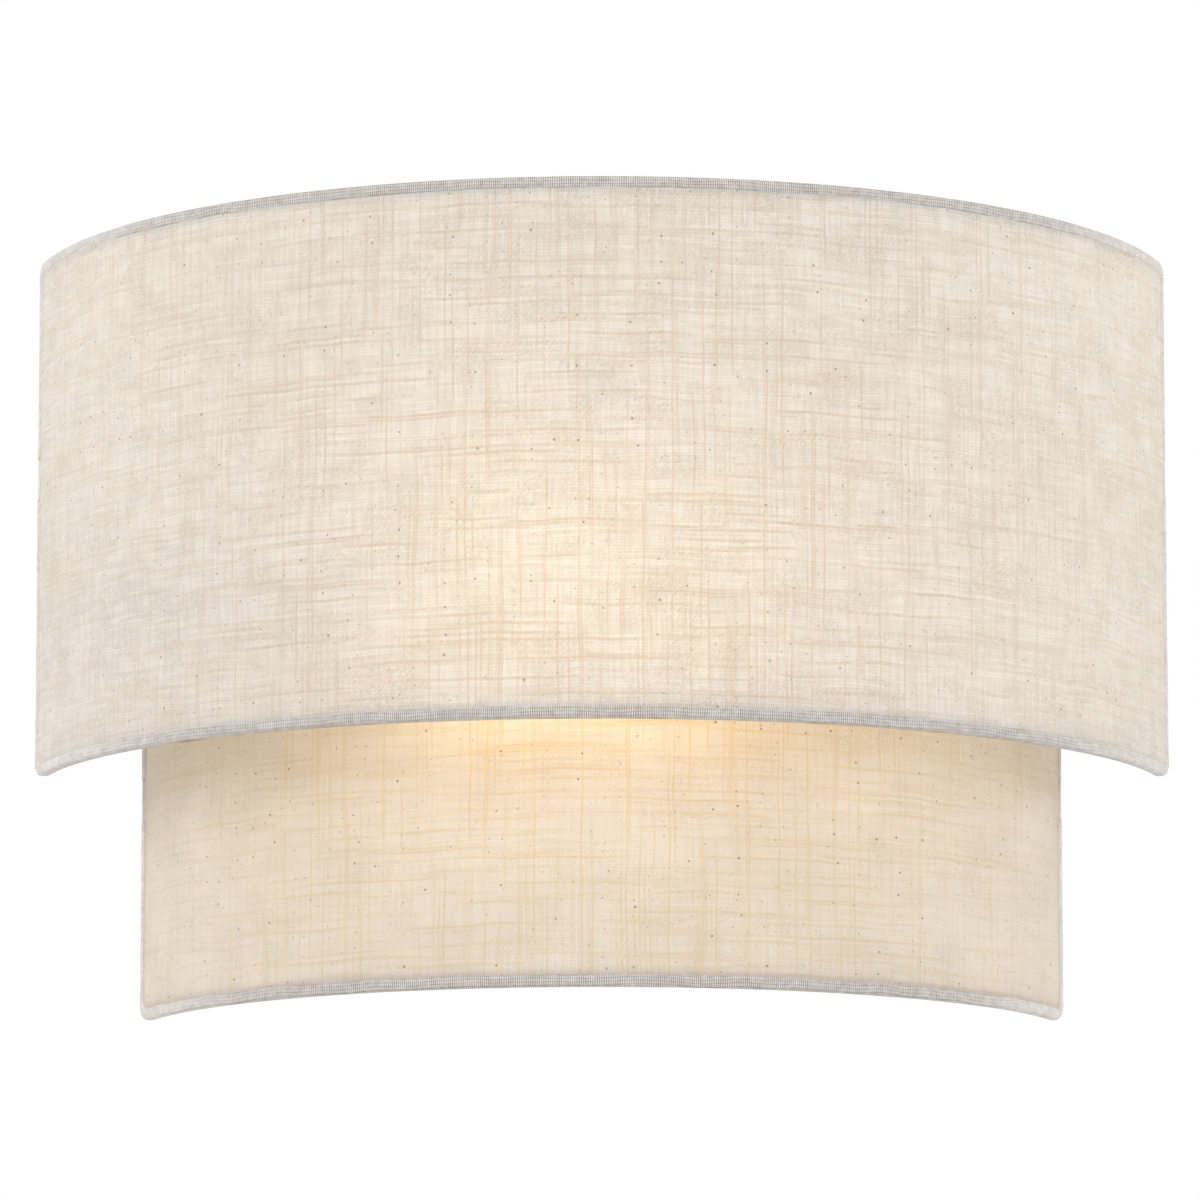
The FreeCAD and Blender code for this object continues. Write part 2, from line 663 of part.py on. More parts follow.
# ---------------------------------------------------------------- wall side

def make_wall_plate():
    """A pan pressed from sheet, open towards the wall."""
    body = new_body("wall_plate")
    sketch = new_sketch(body, "plate_outline", "XZ_Plane")
    half_width = "plate_width / 2"
    half_height = "plate_height / 2"
    corners = [(half_width, half_height), (f"-{half_width}", half_height),
               (f"-{half_width}", f"-{half_height}"), (half_width, f"-{half_height}")]
    outline(sketch, corners)
    pad(body, sketch, "plate_block", "plate_depth")
    round_edges(body, "plate_corners", "plate_corner", lambda edge: runs_along(edge, Y_AXIS))
    front = size(PLATE_FRONT)
    round_edges(body, "plate_front_edge", "plate_edge",
                lambda edge: abs(edge.BoundBox.YMin - front) < TINY
                and abs(edge.BoundBox.YMax - front) < TINY)
    back = [f"Face{row}" for row, face in enumerate(body.Shape.Faces, start=1)
            if abs(face.BoundBox.YMin) < TINY]
    base = body.Tip
    shell = body.newObject("PartDesign::Thickness", "plate_shell")
    shell.Base = (base, back)
    shell.Reversed = True
    bind(shell, Value="plate_sheet")
    document.recompute()
    holes = [
        ("stud_holes", [("0", "stud_spacing / 2"), ("0", "-stud_spacing / 2")],
         "stud_radius + hole_gap"),
        ("thumb_holes", [("0", STRAP_LEVEL), ("0", f"-{STRAP_LEVEL}")],
         "thumb_shank_radius + hole_gap"),
        ("bushing_hole", [(BUSHING_X, "0")], "bushing_radius + bushing_gap"),
        ("bracket_holes", [(BRACKET_SCREW_X, "bracket_screw_spacing / 2"),
                           (BRACKET_SCREW_X, "-bracket_screw_spacing / 2")],
         "bracket_screw_radius + hole_gap"),
    ]
    for name, centres, radius in holes:
        place = new_sketch(body, f"{name}_place", "XZ_Plane")
        circles(place, centres, radius)
        pocket(body, place, name, "2 * plate_depth")


def make_mounting_bar():
    """A slotted strip against the junction box."""
    body = new_body("mounting_bar")
    sketch = new_sketch(body, "bar_outline", "XZ_Plane")
    half_width = "bar_width / 2"
    half_length = f"{BAR_LENGTH} / 2"
    outline(sketch, [(half_width, half_length), (f"-{half_width}", half_length),
                     (f"-{half_width}", f"-{half_length}"), (half_width, f"-{half_length}")])
    pad(body, sketch, "bar_strip", "bar_thickness")
    round_edges(body, "bar_corners", "bar_corner", lambda edge: runs_along(edge, Y_AXIS))
    straight = "(slot_length / 2 - slot_radius)"
    for name, sign in (("top_slot", ""), ("bottom_slot", "-")):
        middle = f"{sign}slot_spacing / 2"
        place = new_sketch(body, f"{name}_place", "XZ_Plane")
        outline(place, [("slot_radius", f"{middle} + {straight}"),
                        ("-slot_radius", f"{middle} + {straight}"),
                        ("-slot_radius", f"{middle} - {straight}"),
                        ("slot_radius", f"{middle} - {straight}")])
        pocket(body, place, name, "2 * bar_thickness")
        ends = new_sketch(body, f"{name}_ends_place", "XZ_Plane")
        circles(ends, [("0", f"{middle} + {straight}"), ("0", f"{middle} - {straight}")],
                "slot_radius")
        pocket(body, ends, f"{name}_ends", "2 * bar_thickness")
    holes = new_sketch(body, "bar_stud_holes_place", "XZ_Plane")
    circles(holes, [("0", "stud_spacing / 2"), ("0", "-stud_spacing / 2")],
            "stud_radius + thread_gap")
    pocket(body, holes, "bar_stud_holes", "2 * bar_thickness")
    ground = new_sketch(body, "bar_ground_hole_place", "XZ_Plane")
    circles(ground, [("0", "0")], "ground_shank_radius + thread_gap")
    pocket(body, ground, "bar_ground_hole", "2 * bar_thickness")


def ring(name, outer, bore, length, place, towards, sides=False):
    """A washer, bush or nut: a round or hexagonal bar with a hole along it."""
    shape = hexagon if sides else rod
    solid = shape(f"{name}_outside", outer, length, place, towards)
    hole = rod(f"{name}_bore", bore, length, place, towards)
    return cut(name, solid, hole)


def make_studs_and_nuts():
    bore = "stud_radius + thread_gap"
    studs, locks, caps, inserts = [], [], [], []
    for sign in ("", "-"):
        level = f"{sign}stud_spacing / 2"
        studs.append(rod("stud", "stud_radius", "plate_depth + stud_reach",
                         ("0", "0", level), "front"))
        locks.append(ring("lock_nut", "nut_radius", bore, "nut_length",
                          ("0", "-bar_thickness", level), "front", sides=True))
        flats = hexagon("cap_nut_flats", "nut_radius", "nut_length",
                        ("0", PLATE_FRONT, level), "front")
        dome = add("Part::Sphere", "cap_nut_dome")
        bind(dome, Radius="cap_nut_dome")
        move(dome, ("0", f"{PLATE_FRONT} - nut_length", level))
        rear = block("cap_nut_rear", ("-cap_nut_dome", PLATE_FRONT, f"{level} - cap_nut_dome"),
                     ("cap_nut_dome", "0", f"{level} + cap_nut_dome"))
        thread = rod("cap_nut_thread", bore, "stud_reach + 2 * thread_gap",
                     ("0", PLATE_FRONT, level), "front")
        caps.append(cut("cap_nut", fuse("cap_nut_outside", [flats, dome]),
                        fuse("cap_nut_inside", [rear, thread])))
        inserts.append(ring("insert", "insert_radius", "thumb_shank_radius + thumb_running_gap",
                            "insert_length",
                            ("0", PLATE_INSIDE + " + insert_length", f"{sign}{STRAP_LEVEL}"),
                            "front"))
    node("mounting_studs", group("mounting_studs", studs))
    node("stud_lock_nuts", group("stud_lock_nuts", locks))
    node("plate_cap_nuts", group("plate_cap_nuts", caps))
    node("shade_nuts", group("shade_nuts", inserts))


def make_ground_parts():
    """The ground screw in the bar, with a ring terminal under its head."""
    head_seat = "(bar_thickness + terminal_sheet)"
    shank = rod("ground_shank", "ground_shank_radius", head_seat, ("0", "0", "0"), "front")
    head = hexagon("ground_head", "ground_head_radius", "ground_head_length",
                   ("0", f"-{head_seat}", "0"), "front")
    node("ground_screw", fuse("ground_screw", [shank, head]))
    tongue = rod("terminal_ring", "terminal_radius", "terminal_sheet",
                 ("0", "-bar_thickness", "0"), "front")
    neck = block("terminal_neck",
                 ("-(terminal_radius + 2 * terminal_barrel_radius)",
                  "-(bar_thickness + terminal_sheet)", "-terminal_barrel_radius"),
                 ("-terminal_radius / 2", "-bar_thickness", "terminal_barrel_radius"))
    barrel = rod("terminal_barrel", "terminal_barrel_radius", "terminal_barrel_length",
                 (TERMINAL_BARREL_X, TERMINAL_BARREL_Y, "0"), "left")
    solid = fuse("terminal_solid", [tongue, neck, barrel])
    hole = rod("terminal_hole", "ground_shank_radius + thread_gap", "2 * bar_thickness",
               ("0", "-bar_thickness / 2", "0"), "front")
    wire_hole = rod("terminal_wire_hole", "lead_radius + hem_clearance", "terminal_barrel_length",
                    (f"{TERMINAL_BARREL_X} - terminal_barrel_radius", TERMINAL_BARREL_Y, "0"),
                    "left")
    node("ground_terminal", cut("ground_terminal", solid,
                                fuse("terminal_holes", [hole, wire_hole])))


def make_bracket():
    """A steel angle: its foot on the wall plate, its upright behind the lampholder."""
    body = new_body("lamp_bracket")
    sketch = new_sketch(body, "bracket_section", "XY_Plane")
    top = "-(lamp_axis + bracket_top)"
    foot_end = f"({UPRIGHT_LEFT} + bracket_foot)"
    outline(sketch, [(UPRIGHT_LEFT, PLATE_FRONT), (foot_end, PLATE_FRONT),
                     (foot_end, f"{PLATE_FRONT} - bracket_sheet"),
                     (UPRIGHT_RIGHT, f"{PLATE_FRONT} - bracket_sheet"),
                     (UPRIGHT_RIGHT, top), (UPRIGHT_LEFT, top)])
    pad(body, sketch, "bracket_angle", "bracket_width", middle=True)
    left, right = size(UPRIGHT_LEFT), size(UPRIGHT_RIGHT)
    front = size(PLATE_FRONT)
    inner = front - size("bracket_sheet")

    def at(edge, across, out):
        box = edge.BoundBox
        middle = box.Center
        return abs(middle.x - across) < TINY and abs(middle.y - out) < TINY

    round_edges(body, "bracket_inner_bend", "bracket_bend",
                lambda edge: runs_along(edge, Z_AXIS) and at(edge, right, inner))
    round_edges(body, "bracket_outer_bend", "bracket_bend + bracket_sheet",
                lambda edge: runs_along(edge, Z_AXIS) and at(edge, left, front))
    far = size(top)
    round_edges(body, "bracket_round_top", "bracket_corner",
                lambda edge: runs_along(edge, X_AXIS)
                and abs(edge.BoundBox.Center.y - far) < TINY)
    nipple = new_sketch(body, "bracket_nipple_place", "YZ_Plane")
    circles(nipple, [(LAMP_Y, "0")], "nipple_radius + hole_gap")
    pocket(body, nipple, "bracket_nipple_hole", "2 * plate_width", middle=True)
    bushing = new_sketch(body, "bracket_bushing_place", "XZ_Plane")
    circles(bushing, [(BUSHING_X, "0")], "bushing_radius + bushing_gap")
    pocket(body, bushing, "bracket_bushing_hole", "2 * plate_depth")
    screws = new_sketch(body, "bracket_screws_place", "XZ_Plane")
    circles(screws, [(BRACKET_SCREW_X, "bracket_screw_spacing / 2"),
                     (BRACKET_SCREW_X, "-bracket_screw_spacing / 2")],
            "bracket_screw_radius + hole_gap")
    pocket(body, screws, "bracket_screw_holes", "2 * plate_depth")
    pieces = []
    for sign in ("", "-"):
        level = f"{sign}bracket_screw_spacing / 2"
        seat = f"{PLATE_FRONT} - bracket_sheet"
        shank = rod("bracket_screw_shank", "bracket_screw_radius",
                    "bracket_sheet + plate_sheet + nut_length",
                    (BRACKET_SCREW_X, PLATE_INSIDE + " + nut_length", level), "front")
        head = rod("bracket_screw_head", "bracket_screw_head", "bracket_screw_radius",
                   (BRACKET_SCREW_X, seat, level), "front")
        pieces.append(fuse("bracket_screw", [shank, head]))
    node("bracket_screws", group("bracket_screws", pieces))
    nuts = []
    for sign in ("", "-"):
        nuts.append(ring("bracket_nut", "nut_radius", "bracket_screw_radius + thread_gap",
                         "nut_length",
                         (BRACKET_SCREW_X, PLATE_INSIDE + " + nut_length",
                          f"{sign}bracket_screw_spacing / 2"), "front", sides=True))
    node("bracket_nuts", group("bracket_nuts", nuts))


def make_bushing():
    body = new_body("wire_bushing")
    sketch = new_sketch(body, "bushing_profile", "XY_Plane")
    foot = "(plate_depth + bracket_sheet)"
    inside = "(plate_depth - plate_sheet)"
    outline(sketch, [
        ("bushing_bore", f"-({inside} - bushing_sheet)"),
        ("bushing_radius", f"-({inside} - bushing_sheet)"),
        ("bushing_lip", f"-{inside}"),
        ("bushing_radius", f"-{inside}"),
        ("bushing_radius", f"-{foot}"),
        ("bushing_flange", f"-{foot}"),
        ("bushing_flange", f"-({foot} + bushing_sheet / 2)"),
        ("bushing_radius", f"-({foot} + bushing_sheet)"),
        ("bushing_bore", f"-({foot} + bushing_sheet)"),
    ])
    revolve(body, sketch, "bushing_turned", "V_Axis")
    move(body, (BUSHING_X, "0", "0"))


def make_lampholder():
    """Lampholder with its screw shell, centre contact, hollow thread and nut."""
    body = new_body("lampholder_body")
    sketch = new_sketch(body, "holder_profile", "XY_Plane")
    rim = "holder_length"
    bore = "(holder_radius - holder_wall)"
    outline(sketch, [
        ("0", "nipple_radius + thread_gap"),
        ("nipple_depth", "nipple_radius + thread_gap"),
        ("nipple_depth", "0"),
        ("holder_floor", "0"),
        ("holder_floor", bore),
        (rim, bore),
        (rim, "holder_radius - holder_edge"),
        (f"{rim} - holder_edge", "holder_radius"),
        ("holder_edge", "holder_radius"),
        ("0", "holder_radius - holder_edge"),
    ])
    revolve(body, sketch, "holder_turned", "H_Axis")
    boss = new_sketch(body, "holder_boss_place", "XZ_Plane")
    centre = "bushing_inset"
    half = "terminal_boss_width / 2"
    tall = "terminal_boss_height / 2"
    outline(boss, [(f"{centre} + {half}", tall), (f"{centre} - {half}", tall),
                   (f"{centre} - {half}", f"-{tall}"), (f"{centre} + {half}", f"-{tall}")])
    rise = "(holder_radius + terminal_boss_rise)"
    boss.setExpression("AttachmentOffset.Base.z", linked(f"-{rise}"))
    pad(body, boss, "holder_boss", f"{rise} - {bore} - holder_wall / 2")
    move(body, (UPRIGHT_RIGHT, LAMP_Y, "0"))

    shell_radius = "(cap_radius + screw_shell_gap)"
    shell = new_body("screw_shell")
    profile = new_sketch(shell, "screw_shell_profile", "XY_Plane")
    outside = f"({shell_radius} + screw_shell_sheet)"
    outline(profile, [("0", "screw_shell_hole"), ("0", outside), ("screw_shell_length", outside),
                      ("screw_shell_length", shell_radius), ("screw_shell_sheet", shell_radius),
                      ("screw_shell_sheet", "screw_shell_hole")])
    revolve(shell, profile, "screw_shell_turned", "H_Axis")
    move(shell, (HOLDER_FLOOR, LAMP_Y, "0"))

    contact = new_body("centre_contact")
    leaf = new_sketch(contact, "contact_profile", "XY_Plane")
    half_length = "contact_length / 2"
    outline(leaf, [
        ("0", f"-{half_length}"),
        ("contact_sheet", f"-{half_length}"),
        ("contact_sheet", f"{half_length} - 2 * contact_sheet"),
        ("contact_reach - contact_sheet", "bulb_contact_radius / 2 - contact_sheet"),
        ("contact_reach - contact_sheet", "-bulb_contact_radius / 2"),
        ("contact_reach", "-bulb_contact_radius / 2"),
        ("contact_reach", "bulb_contact_radius / 2"),
        ("contact_sheet", half_length),
        ("0", half_length),
    ])
    pad(contact, leaf, "contact_leaf", "contact_width", middle=True)
    move(contact, (HOLDER_FLOOR, LAMP_Y, "0"))

    tail = f"({UPRIGHT_LEFT} - nipple_tail)"
    node("lampholder_nipple", ring(
        "lampholder_nipple", "nipple_radius", "nipple_bore",
        "nipple_tail + bracket_sheet + nipple_depth - thread_gap", (tail, LAMP_Y, "0"), "right"))
    node("lampholder_nut", ring(
        "lampholder_nut", "nipple_nut_radius", "nipple_radius + thread_gap", "nipple_nut_length",
        (UPRIGHT_LEFT, LAMP_Y, "0"), "left", sides=True))


# ---------------------------------------------------------------- lamp

def glass_side(sketch, thickness):
    """One side of the glass: neck, widening shoulder and globe. Returns the three rows."""
    inset = thickness or "0"
    globe = size(f"globe_radius - {inset}")
    neck = size(f"{NECK_RADIUS} - {inset}")
    length = size(NECK_LENGTH)
    start = size(f"{NECK_START} - {GLOBE_CENTRE}")
    shoulder = (length ** 2 + neck ** 2 - globe ** 2) / (2 * (globe - neck))
    tangent = math.atan2(neck + shoulder, -length)
    line = sketch.addGeometry(Part.LineSegment(FreeCAD.Vector(start, neck, 0),
                                               FreeCAD.Vector(-length, neck, 0)))
    centre = FreeCAD.Vector(-length, neck + shoulder, 0)
    bend = sketch.addGeometry(Part.ArcOfCircle(Part.Circle(centre, Z_AXIS, shoulder),
                                               -math.pi / 2, tangent - math.pi))
    ball = sketch.addGeometry(Part.ArcOfCircle(Part.Circle(FreeCAD.Vector(), Z_AXIS, globe),
                                               0, tangent))
    pin_point(sketch, line, 1, (f"{NECK_START} - {GLOBE_CENTRE}", f"{NECK_RADIUS} - {inset}"))
    pin_point(sketch, line, 2, (f"-{NECK_LENGTH}", f"{NECK_RADIUS} - {inset}"))
    sketch.addConstraint(Sketcher.Constraint("Tangent", line, 2, bend, 1))
    sketch.addConstraint(Sketcher.Constraint("Coincident", ball, 3, -1, 1))
    sketch.addConstraint(Sketcher.Constraint("PointOnObject", ball, 1, -1))
    rule = sketch.addConstraint(Sketcher.Constraint("Radius", ball, globe))
    sketch.setExpression(f"Constraints[{rule}]", linked(f"globe_radius - {inset}"))
    sketch.addConstraint(Sketcher.Constraint("Tangent", bend, 2, ball, 2))
    return line, ball


def join(sketch, first, first_end, second, second_end):
    """A straight line between two free ends of a sketch."""
    start = sketch.getPoint(first, first_end)
    end = sketch.getPoint(second, second_end)
    row = sketch.addGeometry(Part.LineSegment(start, end))
    sketch.addConstraint(Sketcher.Constraint("Coincident", row, 1, first, first_end))
    sketch.addConstraint(Sketcher.Constraint("Coincident", row, 2, second, second_end))


def make_bulb():
    body = new_body("bulb_glass")
    sketch = new_sketch(body, "glass_profile", "XY_Plane")
    outer_line, outer_ball = glass_side(sketch, None)
    inner_line, inner_ball = glass_side(sketch, "glass_thickness")
    join(sketch, outer_line, 1, inner_line, 1)
    join(sketch, outer_ball, 1, inner_ball, 1)
    revolve(body, sketch, "glass_blown", "H_Axis")
    move(body, (GLOBE_CENTRE, LAMP_Y, "0"))

    cap = new_body("bulb_cap")
    profile = new_sketch(cap, "cap_profile", "XY_Plane")
    taper = "(cap_radius - insulator_radius) / 2"
    inside = "(cap_radius - cap_sheet)"
    outline(profile, [("0", "insulator_radius"), (taper, "cap_radius"),
                      ("cap_length", "cap_radius"), ("cap_length", inside),
                      (f"{taper} + cap_sheet", inside),
                      ("2 * cap_sheet", "insulator_radius")])
    revolve(cap, profile, "cap_turned", "H_Axis")
    move(cap, (CAP_START, LAMP_Y, "0"))

    insulator = add("Part::Cone", "insulator")
    bind(insulator, Radius1="bulb_contact_radius", Radius2="insulator_radius",
         Height="insulator_length")
    insulator.Placement.Rotation = FreeCAD.Rotation(Y_AXIS, QUARTER_TURN)
    move(insulator, (f"{BULB_END} + bulb_contact_length", LAMP_Y, "0"))
    node("bulb_insulator", insulator)
    contact = add("Part::Cone", "contact")
    bind(contact, Radius1="bulb_contact_radius - cap_sheet", Radius2="bulb_contact_radius",
         Height="bulb_contact_length")
    contact.Placement.Rotation = FreeCAD.Rotation(Y_AXIS, QUARTER_TURN)
    move(contact, (BULB_END, LAMP_Y, "0"))
    node("bulb_contact", contact)

    flare = add("Part::Cone", "stem_flare")
    bind(flare, Radius1=f"{NECK_RADIUS} - glass_thickness - stem_gap", Radius2="stem_radius",
         Height="stem_flare")
    flare.Placement.Rotation = FreeCAD.Rotation(Y_AXIS, QUARTER_TURN)
    move(flare, (NECK_START, LAMP_Y, "0"))
    rest = rod("stem_rod", "stem_radius", f"{STEM_END} - {NECK_START} - stem_flare",
               (f"{NECK_START} + stem_flare", LAMP_Y, "0"), "right")
    node("bulb_stem", fuse("bulb_stem", [flare, rest]))

    middle = FreeCAD.Vector(size(f"{GLOBE_CENTRE} - filament_place"), size(LAMP_Y), 0)
    top = middle + Z_AXIS * size("filament_radius")
    frame = FreeCAD.Rotation(Z_AXIS, Y_AXIS * -1, X_AXIS, "XYZ")
    pieces = [bent_wire("filament", "filament_wire", frame, top, middle, Y_AXIS,
                        str(2 * QUARTER_TURN))]
    stem_end = FreeCAD.Vector(size(f"{STEM_END} + support_wire"), size(LAMP_Y), 0)
    for side in SIGNS:
        foot = stem_end + Z_AXIS * side * size("stem_radius / 2")
        tip = middle + Z_AXIS * side * size("filament_radius")
        pieces.append(straight_wire("support", foot, tip, "support_wire"))
    node("bulb_filament", fuse("bulb_filament", pieces))


# ---------------------------------------------------------------- leads

# The leads' free points, as chosen: each is along the wall, out from the connectors' axis,
# and up or sideways from the middle
LEAD_ARC_SHARE = 0.45
LEAD_DROP = 4.5
LEAD_TURN = (4.5, 0.3, 5.2)
LEAD_SPREAD = (14.0, 0.9, 20.0)
LEAD_APPROACH = 10.0
GROUND_SEAT = 4.8
GROUND_EXIT = 6.2
GROUND_TURN = (18.0, 0.8, 1.5)
GROUND_APPROACH = 2.0


def lead(name, points):
    """An insulated lead: straight runs joined by tangent arcs."""
    edges = []
    radii = []
    start = points[0]
    for before, corner, after in zip(points, points[1:], points[2:]):
        arriving = corner - before
        leaving = after - corner
        reach = LEAD_ARC_SHARE * min(arriving.Length, leaving.Length)
        half_turn = arriving.getAngle(leaving) / 2
        radii.append(reach / math.tan(half_turn))
        arriving.normalize()
        leaving.normalize()
        near = corner - arriving * reach
        far = corner + leaving * reach
        inward = leaving - arriving
        inward.normalize()
        middle = corner + inward * (radii[-1] / math.cos(half_turn) - radii[-1])
        edges.append(Part.LineSegment(start, near).toShape())
        edges.append(Part.Arc(near, middle, far).toShape())
        start = far
    edges.append(Part.LineSegment(start, points[-1]).toShape())
    path = add("Part::Feature", f"{name}_path")
    path.Shape = Part.Wire(edges)
    section = add("Part::RegularPolygon", f"{name}_section")
    section.Polygon = WIRE_FLATS
    bind(section, Circumradius="lead_radius")
    along = points[1] - points[0]
    section.Placement = FreeCAD.Placement(points[0], FreeCAD.Rotation(Z_AXIS, along))
    tube = add("Part::Sweep", f"{name}_tube")
    tube.Sections = [section]
    tube.Spine = (path, [f"Edge{row}" for row in range(1, len(edges) + 1)])
    tube.Solid = True
    document.recompute()
    expected = Part.Face(section.Shape).Area * path.Shape.Length
    print(name, "length", round(path.Shape.Length, 1), "arc radii",
          [round(radius, 1) for radius in radii],
          "volume share", round(tube.Shape.Volume / expected, 4))
    node(name, tube)


def make_leads():
    """Line and neutral leads from the lampholder, the ground lead, and their connectors."""
    bushing = size(BUSHING_X)
    boss = size(BOSS_Y)
    depth = -size("connector_from_wall")
    mouth = -size("connector_mouth")
    reach = size("connector_depth - lead_seat_gap")
    for name, side in (("line_lead", 1), ("neutral_lead", -1)):
        beside = side * size("lead_spacing / 2")
        row = side * size("connector_row")
        route = [
            (bushing, boss, beside),
            (bushing, size(PLATE_INSIDE) + LEAD_DROP, beside),
            (bushing + LEAD_TURN[0], depth + LEAD_TURN[1], beside + side * LEAD_TURN[2]),
            (bushing + LEAD_SPREAD[0], depth + LEAD_SPREAD[1], side * LEAD_SPREAD[2]),
            (mouth - LEAD_APPROACH, depth, row),
            (mouth + reach, depth, row),
        ]
        lead(name, [FreeCAD.Vector(*point) for point in route])
    barrel_end = size(f"{TERMINAL_BARREL_X} - terminal_barrel_length")
    level = size(TERMINAL_BARREL_Y)
    route = [
        (barrel_end + GROUND_SEAT, level, 0),
        (barrel_end - GROUND_EXIT, level, 0),
        (barrel_end - GROUND_TURN[0], depth + GROUND_TURN[1], GROUND_TURN[2]),
        (mouth + GROUND_APPROACH, depth, 0),
        (mouth - reach, depth, 0),
    ]
    lead("ground_lead", [FreeCAD.Vector(*point) for point in route])
    pieces = []
    for level, towards, back in (("connector_row", "right", 1), ("-connector_row", "right", 1),
                                 ("0", "left", -1)):
        place = ("-connector_mouth", "-connector_from_wall", level)
        cone = add("Part::Cone", "connector_outside")
        bind(cone, Radius1="connector_mouth_radius", Radius2="connector_tip_radius",
             Height="connector_length")
        cone.Placement.Rotation = FreeCAD.Rotation(Y_AXIS, back * QUARTER_TURN)
        move(cone, place)
        bore = rod("connector_bore", "connector_bore", "connector_depth", place, towards)
        pieces.append(cut("connector", cone, bore))
    node("wire_connectors", group("wire_connectors", pieces))


# ---------------------------------------------------------------- the whole light

def write_nodes():
    """Check every object and sub-part, then write one STEP file for each sub-part."""
    document.recompute()
    for item in document.Objects:
        if "Invalid" in item.State or "Error" in item.State:
            raise RuntimeError(f"{item.Label} failed: {item.State}")
    for name, item in nodes.items():
        shape = item.Shape
        if shape.isNull() or not shape.isValid() or not shape.Solids:
            raise RuntimeError(f"{name} has no valid solid")
    os.makedirs("parts", exist_ok=True)
    for name, item in nodes.items():
        item.Shape.exportStep(f"parts/{name}.step")
    print(len(nodes), "sub-parts written")


make_tier(UPPER, STRAP_LEVEL)
make_tier(LOWER, f"-{STRAP_LEVEL}")
make_links()
make_strap("upper_strap", UPPER, STRAP_LEVEL)
make_strap("lower_strap", LOWER, f"-{STRAP_LEVEL}")
make_thumbscrew("upper_thumbscrew", STRAP_LEVEL)
make_thumbscrew("lower_thumbscrew", f"-{STRAP_LEVEL}")
make_mounting_bar()
make_wall_plate()
make_studs_and_nuts()
make_ground_parts()
make_bracket()
make_bushing()
make_lampholder()
make_bulb()
make_leads()
write_nodes()
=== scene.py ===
"""A two-tier half-drum fabric wall light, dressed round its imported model.

Metres, in the model's own frame: +X to the right, +Y into the wall, +Z up. The lamp is lit.
The cloth and its rolled hems are sheets and sweeps laid out flat, along the weft and up the
warp, and then wrapped round the upright axis of the shade's arc.
"""
import json
import math

import bmesh
import bpy
from mathutils import Euler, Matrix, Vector, noise


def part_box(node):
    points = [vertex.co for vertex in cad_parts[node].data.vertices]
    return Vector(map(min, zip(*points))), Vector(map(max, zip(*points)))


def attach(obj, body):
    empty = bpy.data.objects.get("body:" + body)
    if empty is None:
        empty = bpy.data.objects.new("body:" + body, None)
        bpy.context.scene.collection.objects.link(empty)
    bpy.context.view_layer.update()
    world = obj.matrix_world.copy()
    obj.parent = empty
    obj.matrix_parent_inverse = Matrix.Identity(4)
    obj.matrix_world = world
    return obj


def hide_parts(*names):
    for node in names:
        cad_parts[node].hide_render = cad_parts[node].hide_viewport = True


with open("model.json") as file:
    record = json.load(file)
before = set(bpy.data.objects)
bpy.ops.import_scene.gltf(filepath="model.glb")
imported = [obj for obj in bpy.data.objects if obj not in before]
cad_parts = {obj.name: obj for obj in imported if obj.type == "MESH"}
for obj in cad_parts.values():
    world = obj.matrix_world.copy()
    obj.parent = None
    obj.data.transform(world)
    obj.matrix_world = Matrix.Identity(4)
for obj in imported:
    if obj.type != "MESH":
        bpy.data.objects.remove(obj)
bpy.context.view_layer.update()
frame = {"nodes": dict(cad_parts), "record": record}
nodes = frame["nodes"]

MM = 0.001

# Shade: the arc's axis, the rolled hems and the cloth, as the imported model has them
AXIS_BEHIND = 40 * MM
HEM_HALF = 1.8 * MM
HEM_BORE = 1.45 * MM
HEM_PROUD = 0.3 * MM
CLOTH_THICKNESS = 0.6 * MM
LINER_THICKNESS = 0.5 * MM
CORNER_RADIUS = 5 * MM
TURN_IN = 2.6 * MM
TURN_IN_THICKNESS = 0.35 * MM
NOTCH_GAP = 0.3 * MM

# Weave, in millimetres
WARP_PITCH = 0.74
WEFT_PITCH = 0.90
HEM_WARP_PITCH = 0.62
HEM_WEFT_PITCH = 0.95
WAVER_ALONG = 1.6
WAVER_UP = 2.4
WEFT_SLUB_LENGTH = 58.0
WARP_SLUB_LENGTH = 66.0
FINE_LENGTH = 12.0
BAND_LENGTH = 46.0
BAND_HEIGHT = 2.0
# Slubs fade between these distances from the arc's middle: painted light, as they show most
# where the lamp shines through the middle.
SLUB_FADE_PAINTED_GLOW = (60.0, 200.0)

# Where the hem's open weave, and the painted shade in its gaps, fades at the sides, in
# radians round the arc
HEM_FADE = (0.7, 1.2)

# Lamp: its light close to the filament and far from it
LAMP_STRENGTH = 6.4
LAMP_EDGE_SHARE = 0.75
LAMP_COLOUR = (1.0, 0.82, 0.55, 1.0)
LAMP_EDGE_COLOUR = (1.0, 0.76, 0.45, 1.0)
GLOW_NEAR = 24 * MM
GLOW_FAR = 62 * MM

# How much light each liner lets through
UPPER_LINER_PASSES = 0.55
LOWER_LINER_PASSES = 0.72

# Direction of a metal's grain
DRAWN_ALONG_X = (0.05, 1.0, 1.0)
DRAWN_ALONG_Y = (1.0, 0.05, 1.0)
EVEN = (1.0, 1.0, 1.0)

SRGB_KNEE = 0.04045


def linear(red, green, blue):
    """A linear colour from 8-bit screen values."""
    out = []
    for value in (red, green, blue):
        part = value / 255
        out.append(part / 12.92 if part <= SRGB_KNEE else ((part + 0.055) / 1.055) ** 2.4)
    return (*out, 1.0)


# ---------------------------------------------------------------- shader helper

